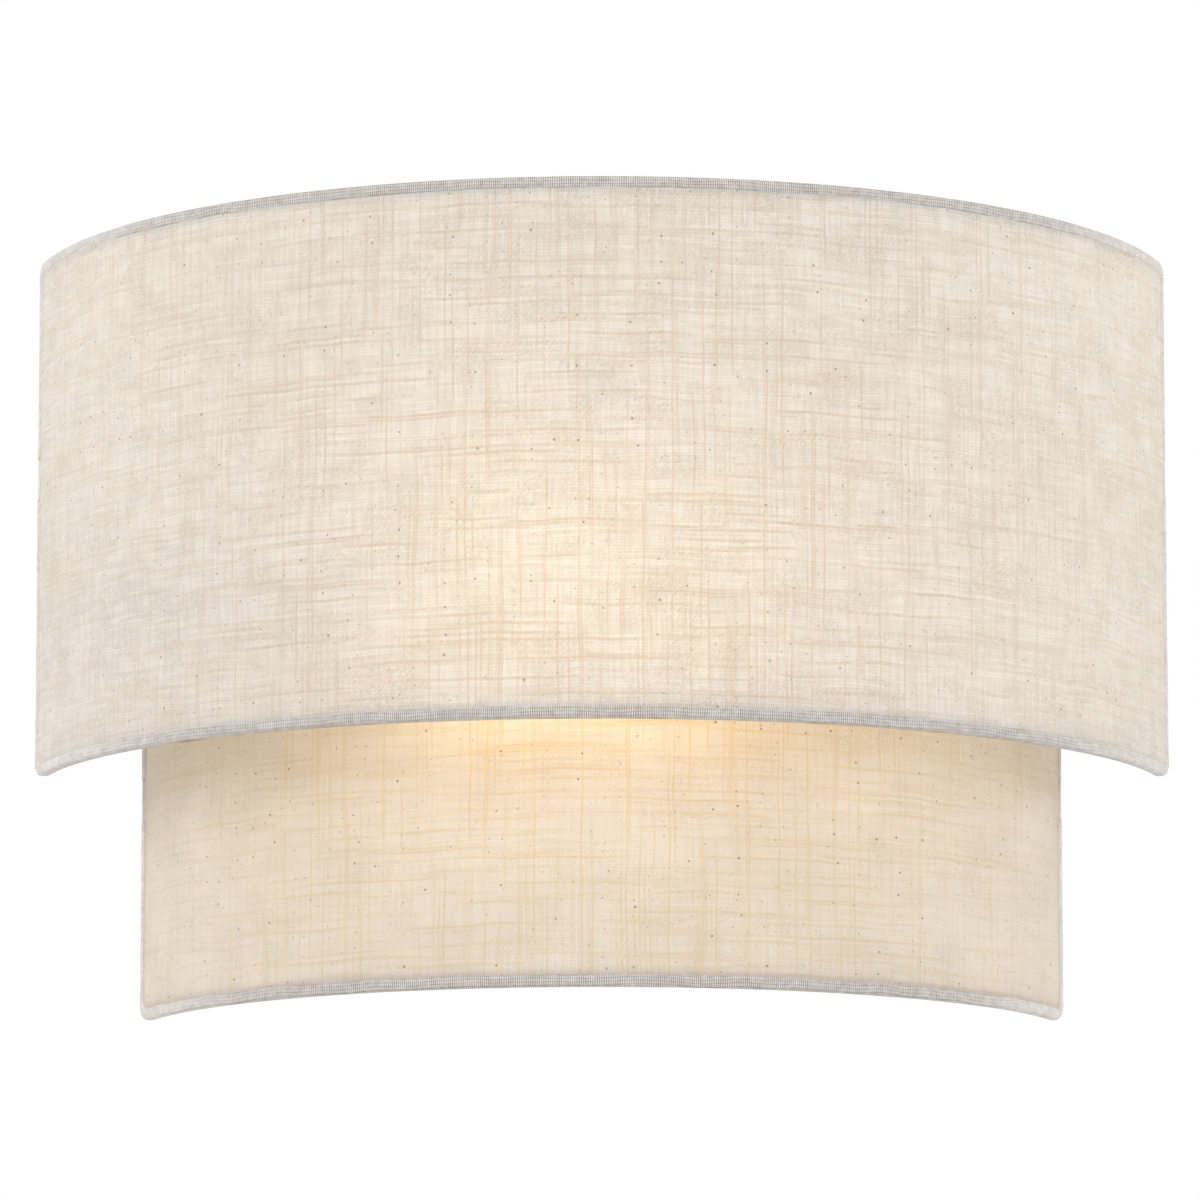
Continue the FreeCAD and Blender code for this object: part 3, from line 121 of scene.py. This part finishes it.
class Shader:
    """A material and short calls that add nodes to it."""

    def __init__(self, name):
        self.material = bpy.data.materials.new(name)
        self.material.use_nodes = True
        self.tree = self.material.node_tree
        self.tree.nodes.clear()
        self.out = self.node("ShaderNodeOutputMaterial")

    def node(self, kind, settings=None, **inputs):
        made = self.tree.nodes.new(kind)
        for key, value in (settings or {}).items():
            setattr(made, key, value)
        for key, value in inputs.items():
            self.feed(made.inputs[key.replace("_", " ")], value)
        return made

    def feed(self, socket, value):
        if isinstance(value, bpy.types.NodeSocket):
            self.tree.links.new(value, socket)
        else:
            socket.default_value = value

    def math(self, operation, *values):
        made = self.node("ShaderNodeMath", {"operation": operation})
        for socket, value in zip(made.inputs, values):
            self.feed(socket, value)
        return made.outputs[0]

    def mix(self, factor, first, second):
        made = self.node("ShaderNodeMix", {"data_type": "RGBA"})
        for socket, value in zip((made.inputs[0], made.inputs[6], made.inputs[7]),
                                 (factor, first, second)):
            self.feed(socket, value)
        return made.outputs[2]

    def vector(self, x, y, z):
        return self.node("ShaderNodeCombineXYZ", X=x, Y=y, Z=z).outputs[0]

    def noise(self, vector, scale, detail=2.0, roughness=0.5):
        made = self.node("ShaderNodeTexNoise", Vector=vector, Scale=scale, Detail=detail,
                         Roughness=roughness)
        return made.outputs[0]

    def span(self, value, low, high, to_low=0.0, to_high=1.0):
        """A smooth step of a value from one span to another."""
        made = self.node("ShaderNodeMapRange", {"interpolation_type": "SMOOTHSTEP"},
                         Value=value, From_Min=low, From_Max=high, To_Min=to_low,
                         To_Max=to_high)
        return made.outputs[0]

    def bump(self, height, strength, distance):
        made = self.node("ShaderNodeBump", Height=height, Strength=strength,
                         Distance=distance)
        return made.outputs[0]

    def place(self):
        return self.node("ShaderNodeTexCoord").outputs["Object"]

    def principled(self, **inputs):
        return self.node("ShaderNodeBsdfPrincipled", **inputs)

    def let_through(self, share, face, through):
        """A face that passes a share of its light through."""
        surface = self.node("ShaderNodeMixShader", Fac=share)
        self.feed(surface.inputs[1], face.outputs[0])
        self.feed(surface.inputs[2], through.outputs[0])
        return self.finish(surface)

    def finish(self, surface):
        self.tree.links.new(surface.outputs[0], self.out.inputs["Surface"])
        return self.material


# ---------------------------------------------------------------- cloth materials

def cloth_place(shader, radius):
    """Millimetres along the weft and up the warp, on the arc, with a slight waver."""
    parts = shader.node("ShaderNodeSeparateXYZ", Vector=shader.place())
    behind = shader.math("SUBTRACT", AXIS_BEHIND, parts.outputs[1])
    angle = shader.math("ARCTAN2", parts.outputs[0], behind)
    along = shader.math("MULTIPLY", angle, radius / MM)
    up = shader.math("DIVIDE", parts.outputs[2], MM)
    waver = shader.noise(shader.vector(along, up, 0.0), 0.045, detail=1.0)
    waver = shader.math("SUBTRACT", waver, 0.5)
    along = shader.math("MULTIPLY_ADD", waver, WAVER_ALONG, along)
    up = shader.math("MULTIPLY_ADD", waver, WAVER_UP, up)
    return along, up


def thread(shader, along, across, pitch, length, seed):
    """Noise that runs along each thread by itself."""
    row = shader.math("FLOOR", shader.math("DIVIDE", across, pitch))
    line = shader.vector(shader.math("DIVIDE", along, length),
                         shader.math("MULTIPLY", row, 5.17), seed)
    return shader.noise(line, 1.0, detail=1.5)


def slub_thread(shader, along, across, pitch, length, seed):
    """Thick places along single threads: many faint and a few strong, each thin."""
    swell = shader.span(thread(shader, along, across, pitch, length, seed), 0.45, 0.68)
    swell = shader.math("POWER", swell, 1.3)
    ridge = shader.math("SINE", shader.math("MULTIPLY", across, math.pi / pitch))
    shape = shader.span(shader.math("ABSOLUTE", ridge), 0.30, 0.92)
    return shader.math("MULTIPLY", swell, shape)


def plain_weave(shader, along, up):
    """Height of the cloth's face, and how open it is between threads."""
    warp = shader.math("SINE", shader.math("MULTIPLY", along, math.pi / WARP_PITCH))
    weft = shader.math("SINE", shader.math("MULTIPLY", up, math.pi / WEFT_PITCH))
    over = shader.math("MULTIPLY_ADD", shader.math("MULTIPLY", warp, weft), 0.5, 0.5)
    ridge = shader.math("MAXIMUM", shader.math("ABSOLUTE", warp),
                        shader.math("ABSOLUTE", weft))
    opened = shader.span(ridge, 0.80, 0.30)
    return shader.math("MULTIPLY", over, ridge), opened


def specks(shader, along, up, cell, keep, size, seed):
    """Bits of husk caught in the yarn: small dots in some cells of a grid."""
    made = shader.node("ShaderNodeTexVoronoi", {"voronoi_dimensions": "2D"},
                       Vector=shader.vector(shader.math("DIVIDE", along, cell),
                                            shader.math("DIVIDE", up, cell), 0.0),
                       Scale=1.0, Randomness=1.0)
    parts = shader.node("ShaderNodeSeparateColor", Color=made.outputs["Color"])
    chosen = shader.math("LESS_THAN", parts.outputs[0], keep)
    reach = shader.math("MULTIPLY_ADD", parts.outputs[1], 0.6 * size / cell,
                        0.4 * size / cell)
    rough = shader.noise(shader.vector(along, up, seed), 2.2, 1.0)
    reach = shader.math("MULTIPLY", reach, shader.math("ADD", rough, 0.5))
    soft = 0.10 / cell
    dot = shader.span(shader.math("SUBTRACT", made.outputs["Distance"], reach),
                      soft, -soft)
    return shader.math("MULTIPLY", dot, chosen)


def crimped(shader, along, up):
    """Short slanting strokes, where a soft yarn lies bunched between its neighbours."""
    rising = shader.math("MULTIPLY", shader.math("ADD", along, up), 0.42)
    across = shader.math("MULTIPLY", shader.math("SUBTRACT", along, up), 1.25)
    stroke = shader.noise(shader.vector(rising, across, 4.0), 1.0, 1.0)
    return shader.span(stroke, 0.40, 0.62)


def cloth(name, radius, look):
    """Slubbed linen and cotton: pale ground, tan slubs both ways, dark specks."""
    shader = Shader(name)
    along, up = cloth_place(shader, radius)
    height, opened = plain_weave(shader, along, up)
    field = shader.vector(along, up, radius / MM)

    weft = slub_thread(shader, along, up, WEFT_PITCH, WEFT_SLUB_LENGTH, seed=3.0)
    warp = slub_thread(shader, up, along, WARP_PITCH, WARP_SLUB_LENGTH, seed=7.0)
    stripes = shader.vector(shader.math("DIVIDE", along, BAND_LENGTH),
                            shader.math("DIVIDE", up, BAND_HEIGHT), 9.0)
    band = shader.noise(stripes, 1.0, 3.0, 0.6)
    crimp = crimped(shader, along, up)
    band = shader.span(band, 0.47, 0.70)
    bunched = shader.math("MULTIPLY", band, shader.math("MULTIPLY_ADD", crimp, 0.6, 0.4))
    slubs = shader.math("MAXIMUM", weft, warp)
    slubs = shader.math("MAXIMUM", slubs, shader.math("MULTIPLY", bunched, 0.60))
    # Slubs fade towards the sides of the arc: painted light, as they show most where the lamp
    # shines through the middle.
    aside = shader.span(shader.math("ABSOLUTE", along), *SLUB_FADE_PAINTED_GLOW, 0.95, 0.42)
    slubs = shader.math("MULTIPLY", slubs, aside)
    cloud = shader.span(shader.noise(field, 0.018, 3.0, 0.55), 0.35, 0.70)
    fine = shader.math("ADD",
                       thread(shader, up, along, WARP_PITCH, FINE_LENGTH, seed=21.0),
                       thread(shader, along, up, WEFT_PITCH, FINE_LENGTH, seed=31.0))
    fine = shader.span(fine, 0.75, 1.25)
    patch = shader.span(shader.noise(field, 0.11, 2.0), 0.42, 0.62)
    shade = shader.math("MULTIPLY", crimp, shader.math("MAXIMUM", band, patch))
    coarse = specks(shader, along, up, cell=7.4, keep=0.36, size=0.36, seed=1.5)
    small = specks(shader, along, up, cell=4.1, keep=0.30, size=0.30, seed=4.5)
    dark = shader.math("MAXIMUM", coarse, shader.math("MULTIPLY", 0.55, small))

    ground = shader.mix(cloud, look["ground"], look["clouded_ground"])
    ground = shader.mix(shader.math("MULTIPLY", fine, 0.75), ground,
                        linear(223, 219, 215))
    ground = shader.mix(shader.math("MULTIPLY", shade, 0.60), ground,
                        linear(210, 204, 196))
    colour = shader.mix(shader.math("MULTIPLY", slubs, 0.22), ground,
                        linear(228, 211, 168))
    # Darker in the open gaps between threads: painted shade in the weave.
    colour = shader.mix(shader.math("MULTIPLY", opened, 0.52), colour,
                        linear(176, 171, 165))
    colour = shader.mix(shader.math("MULTIPLY", dark, 0.55), colour, linear(134, 116, 92))
    passed = shader.mix(slubs, look["lit_ground"], look["lit_slub"])
    passed = shader.mix(shader.math("MULTIPLY", dark, 0.8), passed, linear(96, 76, 52))

    rise = shader.math("MULTIPLY_ADD", slubs, 0.5, height)
    rise = shader.math("MULTIPLY_ADD", shade, 0.55, rise)
    rise = shader.math("MULTIPLY_ADD", shader.noise(field, 1.9, 2.0), 0.25, rise)
    normal = shader.bump(rise, 0.50, 0.22 * MM)
    face = shader.principled(Base_Color=colour, Roughness=0.92, Normal=normal,
                             Specular_IOR_Level=0.12, Sheen_Weight=0.08,
                             Sheen_Roughness=0.6)
    through = shader.node("ShaderNodeBsdfTranslucent", Color=passed, Normal=normal)
    return shader.let_through(look["see_through"], face, through)


def hem_cloth(name, radius):
    """The rolled hem: an open, greyer weave, doubled over a wire, with painted shade in the
    gaps between its threads.
    """
    shader = Shader(name)
    along, up = cloth_place(shader, radius)
    warp = shader.math("SINE", shader.math("MULTIPLY", along, math.pi / HEM_WARP_PITCH))
    weft = shader.math("SINE", shader.math("MULTIPLY", up, math.pi / HEM_WEFT_PITCH))
    warp = shader.span(shader.math("ABSOLUTE", warp), 0.30, 0.95)
    weft = shader.span(shader.math("ABSOLUTE", weft), 0.05, 0.40)
    field = shader.vector(along, up, 2.0)
    uneven = shader.span(shader.noise(field, 0.55, 3.0, 0.6), 0.25, 0.75, 0.55, 1.0)
    opened = shader.math("SUBTRACT", 1.0, shader.math("MULTIPLY", warp, weft))
    opened = shader.math("MULTIPLY", opened, uneven)
    fade_start, fade_end = (angle * radius / MM for angle in HEM_FADE)
    aside = shader.span(shader.math("ABSOLUTE", along), fade_start, fade_end, 1.0, 0.30)
    opened = shader.math("MULTIPLY", opened, aside)
    tone = shader.span(shader.noise(field, 0.35, 3.0, 0.6), 0.3, 0.7)
    colour = shader.mix(tone, linear(229, 223, 218), linear(214, 207, 201))
    slub = shader.span(thread(shader, along, up, HEM_WEFT_PITCH, FINE_LENGTH, 5.0), 0.5, 0.75)
    colour = shader.mix(shader.math("MULTIPLY", slub, 0.4), colour, linear(196, 186, 174))
    # Darker in the open gaps between threads: painted shade inside the doubled roll.
    colour = shader.mix(shader.math("MULTIPLY", opened, 0.9), colour,
                        linear(122, 115, 110))
    normal = shader.bump(shader.math("SUBTRACT", 0.0, opened), 0.5, 0.25 * MM)
    face = shader.principled(Base_Color=colour, Roughness=0.95, Normal=normal,
                             Specular_IOR_Level=0.10)
    return shader.finish(face)


def liner_sheet(name, see_through):
    """Translucent white plastic with a faint rolled grain."""
    shader = Shader(name)
    place = shader.place()
    tone = shader.span(shader.noise(place, 60.0, 3.0), 0.3, 0.7)
    colour = shader.mix(tone, linear(248, 247, 243), linear(243, 241, 235))
    normal = shader.bump(shader.noise(place, 900.0, 2.0), 0.15, 0.1 * MM)
    face = shader.principled(Base_Color=colour, Roughness=0.48, Normal=normal,
                             Specular_IOR_Level=0.35)
    through = shader.node("ShaderNodeBsdfTranslucent", Color=colour, Normal=normal)
    return shader.let_through(see_through, face, through)


# ---------------------------------------------------------------- hard materials

def coated(name, colour, worn, roughness=0.42, peel=0.12):
    """Powder coat with orange peel and a little soiling."""
    shader = Shader(name)
    place = shader.place()
    soil = shader.span(shader.noise(place, 22.0, 4.0, 0.6), 0.45, 0.75)
    tint = shader.mix(shader.math("MULTIPLY", soil, 0.35), colour, worn)
    rough = shader.span(shader.noise(place, 90.0, 2.0), 0.3, 0.7, roughness - 0.06,
                        roughness + 0.08)
    normal = shader.bump(shader.noise(place, 1400.0, 1.0), peel, 0.15 * MM)
    return shader.finish(shader.principled(Base_Color=tint, Roughness=rough,
                                           Normal=normal))


def metal(name, colour, dull, roughness, grain, stretch):
    """Plated or bare metal with a drawn or brushed grain."""
    shader = Shader(name)
    place = shader.place()
    drawn = shader.node("ShaderNodeMapping", Vector=place, Scale=stretch).outputs[0]
    lines = shader.noise(drawn, grain, 3.0, 0.6)
    cloud = shader.span(shader.noise(place, 45.0, 3.0, 0.6), 0.35, 0.75)
    tint = shader.mix(shader.math("MULTIPLY", cloud, 0.6), colour, dull)
    rough = shader.span(lines, 0.25, 0.75, roughness * 0.8, roughness * 1.25)
    normal = shader.bump(lines, 0.10, 0.05 * MM)
    return shader.finish(shader.principled(Base_Color=tint, Metallic=1.0,
                                           Roughness=rough, Normal=normal))


def plastic(name, colour, worn, roughness, grain=800.0):
    """Moulded plastic with a fine spark grain."""
    shader = Shader(name)
    place = shader.place()
    cloud = shader.span(shader.noise(place, 70.0, 3.0, 0.55), 0.35, 0.75)
    tint = shader.mix(shader.math("MULTIPLY", cloud, 0.5), colour, worn)
    rough = shader.span(shader.noise(place, 240.0, 2.0), 0.3, 0.7, roughness - 0.06,
                        roughness + 0.08)
    normal = shader.bump(shader.noise(place, grain, 2.0), 0.12, 0.08 * MM)
    return shader.finish(shader.principled(Base_Color=tint, Roughness=rough,
                                           Normal=normal))


def lit_glass():
    """Inside-frosted glass, lit by the filament behind it."""
    shader = Shader("lit_frosted_glass")
    place = shader.place()
    low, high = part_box("bulb_filament")
    middle = (low + high) / 2
    away = shader.node("ShaderNodeVectorMath", {"operation": "DISTANCE"})
    shader.feed(away.inputs[0], place)
    shader.feed(away.inputs[1], middle)
    glow = shader.span(away.outputs["Value"], GLOW_NEAR, GLOW_FAR, LAMP_STRENGTH,
                       LAMP_EDGE_SHARE * LAMP_STRENGTH)
    frost = shader.noise(place, 420.0, 2.0)
    glow = shader.math("MULTIPLY", glow, shader.span(frost, 0.2, 0.8, 0.96, 1.04))
    normal = shader.bump(frost, 0.05, 0.05 * MM)
    warm = shader.mix(shader.span(away.outputs["Value"], GLOW_NEAR, GLOW_FAR),
                      LAMP_COLOUR, LAMP_EDGE_COLOUR)
    face = shader.principled(Base_Color=linear(244, 242, 236), Roughness=0.22,
                             Normal=normal, Emission_Color=warm, Emission_Strength=glow)
    return shader.finish(face)


def clear_glass():
    """The lamp's inner stem: drawn glass with fine streaks."""
    shader = Shader("stem_glass")
    place = shader.place()
    streak = shader.noise(place, 160.0, 2.0)
    tint = shader.mix(streak, linear(246, 248, 246), linear(232, 238, 234))
    rough = shader.span(streak, 0.2, 0.8, 0.02, 0.10)
    face = shader.principled(Base_Color=tint, Roughness=rough, IOR=1.5,
                             Transmission_Weight=0.9,
                             Normal=shader.bump(streak, 0.1, 0.1 * MM))
    return shader.finish(face)


def dress_hard_nodes():
    """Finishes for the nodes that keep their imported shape."""
    white = coated("white_powder_coat", linear(236, 235, 231), linear(206, 200, 188))
    zinc = metal("zinc_plate", linear(198, 202, 206), linear(158, 160, 158), 0.34, 700.0,
                 DRAWN_ALONG_X)
    nickel = metal("brushed_nickel", linear(196, 192, 184), linear(150, 145, 136), 0.28,
                   900.0, DRAWN_ALONG_Y)
    brass = metal("plain_brass", linear(206, 172, 96), linear(150, 116, 62), 0.30, 600.0,
                  EVEN)
    tinned = metal("tinned_copper", linear(206, 202, 194), linear(160, 150, 136), 0.38,
                   500.0, EVEN)
    finishes = {
        "zinc_steel": zinc,
        "plate_paint": white,
        "frame_wire": coated("wire_coat", linear(232, 231, 227), linear(196, 190, 178),
                             0.50),
        "strap_steel": white,
        "thumbscrew_brass": nickel,
        "nut_plating": nickel,
        "ground_green": coated("green_passivate", linear(70, 120, 78),
                               linear(52, 82, 56), 0.36, 0.05),
        "tinned_copper": tinned,
        "lead_green": plastic("lead_green", linear(52, 116, 62), linear(40, 88, 50), 0.40),
        "lead_black": plastic("lead_black", linear(34, 34, 35), linear(56, 55, 53), 0.42),
        "lead_white": plastic("lead_white", linear(228, 227, 221), linear(198, 194, 184),
                              0.42),
        "connector": plastic("connector_nylon", linear(206, 104, 40),
                             linear(172, 82, 34), 0.38),
        "bushing": plastic("bushing_nylon", linear(40, 40, 41), linear(66, 65, 62), 0.45),
        "lampholder": plastic("phenolic", linear(46, 42, 39), linear(72, 66, 60), 0.32),
        "holder_brass": brass,
        "bulb_glass": lit_glass(),
        "cap_metal": metal("cap_aluminium", linear(206, 206, 204), linear(168, 166, 160),
                           0.30, 800.0, EVEN),
        "cap_insulator": plastic("vitreous_black", linear(26, 26, 30), linear(44, 44, 48),
                                 0.14),
        "solder": metal("solder", linear(186, 186, 182), linear(140, 138, 132), 0.42,
                        300.0, EVEN),
        "filament": metal("tungsten", linear(120, 116, 110), linear(84, 80, 76), 0.40,
                          900.0, EVEN),
    }
    own = {
        "bulb_stem": clear_glass(),
        "upper_liner": liner_sheet("upper_liner", UPPER_LINER_PASSES),
        "lower_liner": liner_sheet("lower_liner", LOWER_LINER_PASSES),
    }
    for part in frame["record"]["subparts"]:
        item = nodes[part["node"]]
        finish = own.get(part["node"], finishes.get(part["material_slot"]))
        if finish is not None:
            item.data.materials.clear()
            item.data.materials.append(finish)


# ---------------------------------------------------------------- shade geometry

class Tier:
    """One tier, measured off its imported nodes."""

    def __init__(self, name):
        self.name = name
        low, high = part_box(f"{name}_fabric")
        self.low = low.z + HEM_HALF
        self.top = high.z - HEM_HALF
        self.radius = AXIS_BEHIND - low.y
        self.wire = self.radius - HEM_HALF
        post_low, post_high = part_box(f"{name}_posts")
        post_y = (post_low.y + post_high.y) / 2
        self.half = self.wire * math.acos((AXIS_BEHIND - post_y) / self.wire)
        strap_low, strap_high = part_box(f"{name}_strap")
        self.notch = (strap_low.z - NOTCH_GAP, strap_high.z + NOTCH_GAP)

    def wrapped(self, along, up, out):
        """A point of the flat layout, on the arc. out is from the frame wire, outwards."""
        angle = along / self.wire
        radius = self.wire + out
        return Vector((radius * math.sin(angle), AXIS_BEHIND - radius * math.cos(angle),
                       up))


def edge_run(tier, upper, step=1.2 * MM, corner_steps=12):
    """The frame wire's line over one half of a tier, from notch to notch: place and
    outward normal in the flat layout, and how near a corner's middle it is."""
    level = tier.top if upper else tier.low
    start = tier.notch[1] if upper else tier.notch[0]
    turn = 1 if upper else -1
    centre_x = tier.half - CORNER_RADIUS
    centre_z = level - turn * CORNER_RADIUS
    side = []
    rise = abs(centre_z - start)
    count = max(2, round(rise / step))
    for row in range(count):
        up = start + (centre_z - start) * row / count
        side.append((Vector((tier.half, up)), Vector((1, 0)), 0.0))
    for row in range(corner_steps + 1):
        angle = math.pi / 2 * row / corner_steps
        normal = Vector((math.cos(angle), turn * math.sin(angle)))
        place = Vector((centre_x, centre_z)) + normal * CORNER_RADIUS
        side.append((place, normal, math.sin(2 * angle)))
    across = []
    count = round(2 * centre_x / step)
    for row in range(1, count):
        along = centre_x - 2 * centre_x * row / count
        across.append((Vector((along, level)), Vector((0, turn)), 0.0))
    far = [(Vector((-place.x, place.y)), Vector((-normal.x, normal.y)), near)
           for place, normal, near in reversed(side)]
    return side + across + far


def bridge_runs(tier, steps=6):
    """The hem's line across each strap's notch, on both sides of a tier."""
    low, high = tier.notch
    runs = []
    for side in (1, -1):
        run = []
        for row in range(steps + 1):
            up = low + (high - low) * row / steps
            run.append((Vector((side * tier.half, up)), Vector((side, 0)), 0.0))
        runs.append(run)
    return runs


def rounded_section(half_across, half_out, power=3.4, count=20):
    """A soft-cornered section, as points across and out from the wire."""
    points = []
    for row in range(count):
        angle = 2 * math.pi * row / count
        across, out = math.cos(angle), math.sin(angle)
        points.append((half_across * math.copysign(abs(across) ** (2 / power), across),
                       half_out * math.copysign(abs(out) ** (2 / power), out)))
    return points


def outer_half_section(half, inside, count=8):
    """The outer half of a rolled hem, open towards the inside of the shade."""
    outer = []
    inner = []
    for row in range(count + 1):
        angle = math.pi * row / count
        across, out = math.cos(angle), math.sin(angle)
        outer.append((half * across, half * out))
        inner.append((inside * across, inside * out))
    return outer + inner[::-1]


def strip_section(start, end, low, high):
    """A flat section, from start to end across the wire and low to high out from it."""
    return [(start, low), (end, low), (end, high), (start, high)]


def new_piece(name, mesh, material, smooth=True):
    """A mesh as a piece of the scene, with its material and slot."""
    item = bpy.data.objects.new(name, mesh)
    bpy.context.scene.collection.objects.link(item)
    mesh.materials.append(material)
    for face in mesh.polygons:
        face.use_smooth = smooth
    return item


def sweep(name, tier, sections, wobble, swell):
    """Sections carried along runs of the flat layout and wrapped on the arc."""
    build = bmesh.new()
    for run, section in sections:
        rings = []
        for place, normal, near in run:
            scale = 1 + swell * near
            ring = []
            for across, out in section:
                seed = Vector((place.x, place.y, tier.radius)) / (9 * MM)
                shift = noise.noise(seed) * wobble
                ring_out = out * scale + shift
                flat = place + normal * (across * scale)
                ring.append(build.verts.new(tier.wrapped(flat.x, flat.y, ring_out)))
            rings.append(ring)
        count = len(section)
        for first, second in zip(rings, rings[1:]):
            for row in range(count):
                after = (row + 1) % count
                build.faces.new((first[row], first[after], second[after], second[row]))
        build.faces.new(reversed(rings[0]))
        build.faces.new(rings[-1])
    bmesh.ops.recalc_face_normals(build, faces=build.faces)
    mesh = bpy.data.meshes.new(name)
    build.to_mesh(mesh)
    build.free()
    return mesh


def wall_sheet(tier, step=2.5 * MM):
    """The cloth between the hems: one open sheet, wrapped on the arc."""
    build = bmesh.new()
    out = HEM_HALF - HEM_PROUD
    columns = round(2 * tier.half / step)
    rows = round((tier.top - tier.low) / step)
    grid = []
    for row in range(rows + 1):
        up = tier.low + (tier.top - tier.low) * row / rows
        line = []
        for column in range(columns + 1):
            along = -tier.half + 2 * tier.half * column / columns
            seed = Vector((along, up, tier.radius)) / (38 * MM)
            ripple = noise.noise(seed) * 0.16 * MM
            line.append(build.verts.new(tier.wrapped(along, up, out + ripple)))
        grid.append(line)
    for lower, upper in zip(grid, grid[1:]):
        for column in range(columns):
            build.faces.new((lower[column], lower[column + 1], upper[column + 1],
                             upper[column]))
    mesh = bpy.data.meshes.new(f"{tier.name}_cloth")
    build.to_mesh(mesh)
    build.free()
    return mesh


def dress_tier(name, look):
    """Cloth, rolled hems and the hems' turned-in edges of one tier."""
    tier = Tier(name)
    runs = [edge_run(tier, True), edge_run(tier, False)]
    weave = cloth(f"{name}_linen", tier.radius, look)
    band = hem_cloth(f"{name}_hem_linen", tier.radius)
    wall = new_piece(f"{name}_cloth", wall_sheet(tier), weave)
    whole = rounded_section(HEM_HALF, HEM_HALF)
    outer = outer_half_section(HEM_HALF, HEM_BORE)
    pieces = [(run, whole) for run in runs] + [(run, outer) for run in bridge_runs(tier)]
    roll = sweep(f"{name}_hem", tier, pieces, 0.10 * MM, 0.12)
    hem = new_piece(f"{name}_hem", roll, band)
    inside = HEM_HALF - HEM_PROUD - CLOTH_THICKNESS - LINER_THICKNESS
    tape = strip_section(-HEM_HALF * 0.8, -TURN_IN, inside - TURN_IN_THICKNESS,
                         inside - 0.05 * MM)
    turned = sweep(f"{name}_turn_in", tier, [(run, tape) for run in runs], 0.03 * MM, 0.0)
    turn_in = new_piece(f"{name}_turn_in", turned, band, smooth=False)
    for item in (wall, hem, turn_in):
        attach(item, "shade")
    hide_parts(f"{name}_fabric")


# ---------------------------------------------------------------- light and camera

CAMERA_PLACE = (-0.0005, -2.340, -0.348)
CAMERA_PITCH = 8.75
FOCAL_PIXELS = 8118
IMAGE_PIXELS = 1200
SENSOR = 36.0
CLIP_START = 0.05
CLIP_END = 20.0
WORLD_LEVEL = 0.90
SHADE_MIDDLE = (0, -0.06, 0)
SOFTBOX_SIZE = 1.2


def make_camera():
    """The camera in front of the light and a little below it, tilted up."""
    data = bpy.data.cameras.new("camera")
    data.sensor_width = SENSOR
    data.lens = FOCAL_PIXELS / IMAGE_PIXELS * SENSOR
    data.clip_start = CLIP_START
    data.clip_end = CLIP_END
    item = bpy.data.objects.new("camera", data)
    item.location = CAMERA_PLACE
    item.rotation_euler = Euler((math.radians(90 + CAMERA_PITCH), 0, 0))
    bpy.context.scene.collection.objects.link(item)
    bpy.context.scene.camera = item


def make_world():
    """An even white room. Camera and glossy rays meet plain white."""
    world = bpy.data.worlds.new("studio")
    bpy.context.scene.world = world
    world.use_nodes = True
    tree = world.node_tree
    tree.nodes.clear()
    path = tree.nodes.new("ShaderNodeLightPath")
    seen = tree.nodes.new("ShaderNodeMath")
    seen.operation = "MAXIMUM"
    tree.links.new(path.outputs["Is Camera Ray"], seen.inputs[0])
    tree.links.new(path.outputs["Is Glossy Ray"], seen.inputs[1])
    level = tree.nodes.new("ShaderNodeMapRange")
    level.inputs["To Min"].default_value = WORLD_LEVEL
    level.inputs["To Max"].default_value = 1.0
    tree.links.new(seen.outputs[0], level.inputs["Value"])
    light = tree.nodes.new("ShaderNodeBackground")
    light.inputs["Color"].default_value = (1.0, 1.0, 1.0, 1.0)
    tree.links.new(level.outputs[0], light.inputs["Strength"])
    out = tree.nodes.new("ShaderNodeOutputWorld")
    tree.links.new(light.outputs[0], out.inputs["Surface"])


def make_softbox(name, place, power):
    """A round soft light, aimed at the shade."""
    data = bpy.data.lights.new(name, "AREA")
    data.shape = "DISK"
    data.size = SOFTBOX_SIZE
    data.energy = power
    item = bpy.data.objects.new(name, data)
    item.location = place
    sight = Vector(SHADE_MIDDLE) - Vector(place)
    item.rotation_euler = sight.to_track_quat("-Z", "Y").to_euler()
    bpy.context.scene.collection.objects.link(item)


UPPER_LOOK = {
    "see_through": 0.34,
    "ground": linear(243, 241, 240),
    "clouded_ground": linear(240, 237, 233),
    "lit_ground": linear(255, 245, 221),
    "lit_slub": linear(226, 178, 98),
}
# The lower tier is the same cloth as the upper; its ground colours are painted darker, as
# painted shade below the upper tier.
LOWER_SHADED_LOOK = {
    "see_through": 0.48,
    "ground": linear(233, 229, 227),
    "clouded_ground": linear(229, 224, 220),
    "lit_ground": linear(255, 243, 228),
    "lit_slub": linear(242, 212, 152),
}

dress_hard_nodes()
dress_tier("upper", UPPER_LOOK)
dress_tier("lower", LOWER_SHADED_LOOK)
make_camera()
make_world()
make_softbox("key", (-1.9, -1.1, 0.9), power=16.0)
make_softbox("fill", (1.9, -1.1, 0.5), power=12.0)
bpy.context.scene.view_settings.view_transform = "Standard"
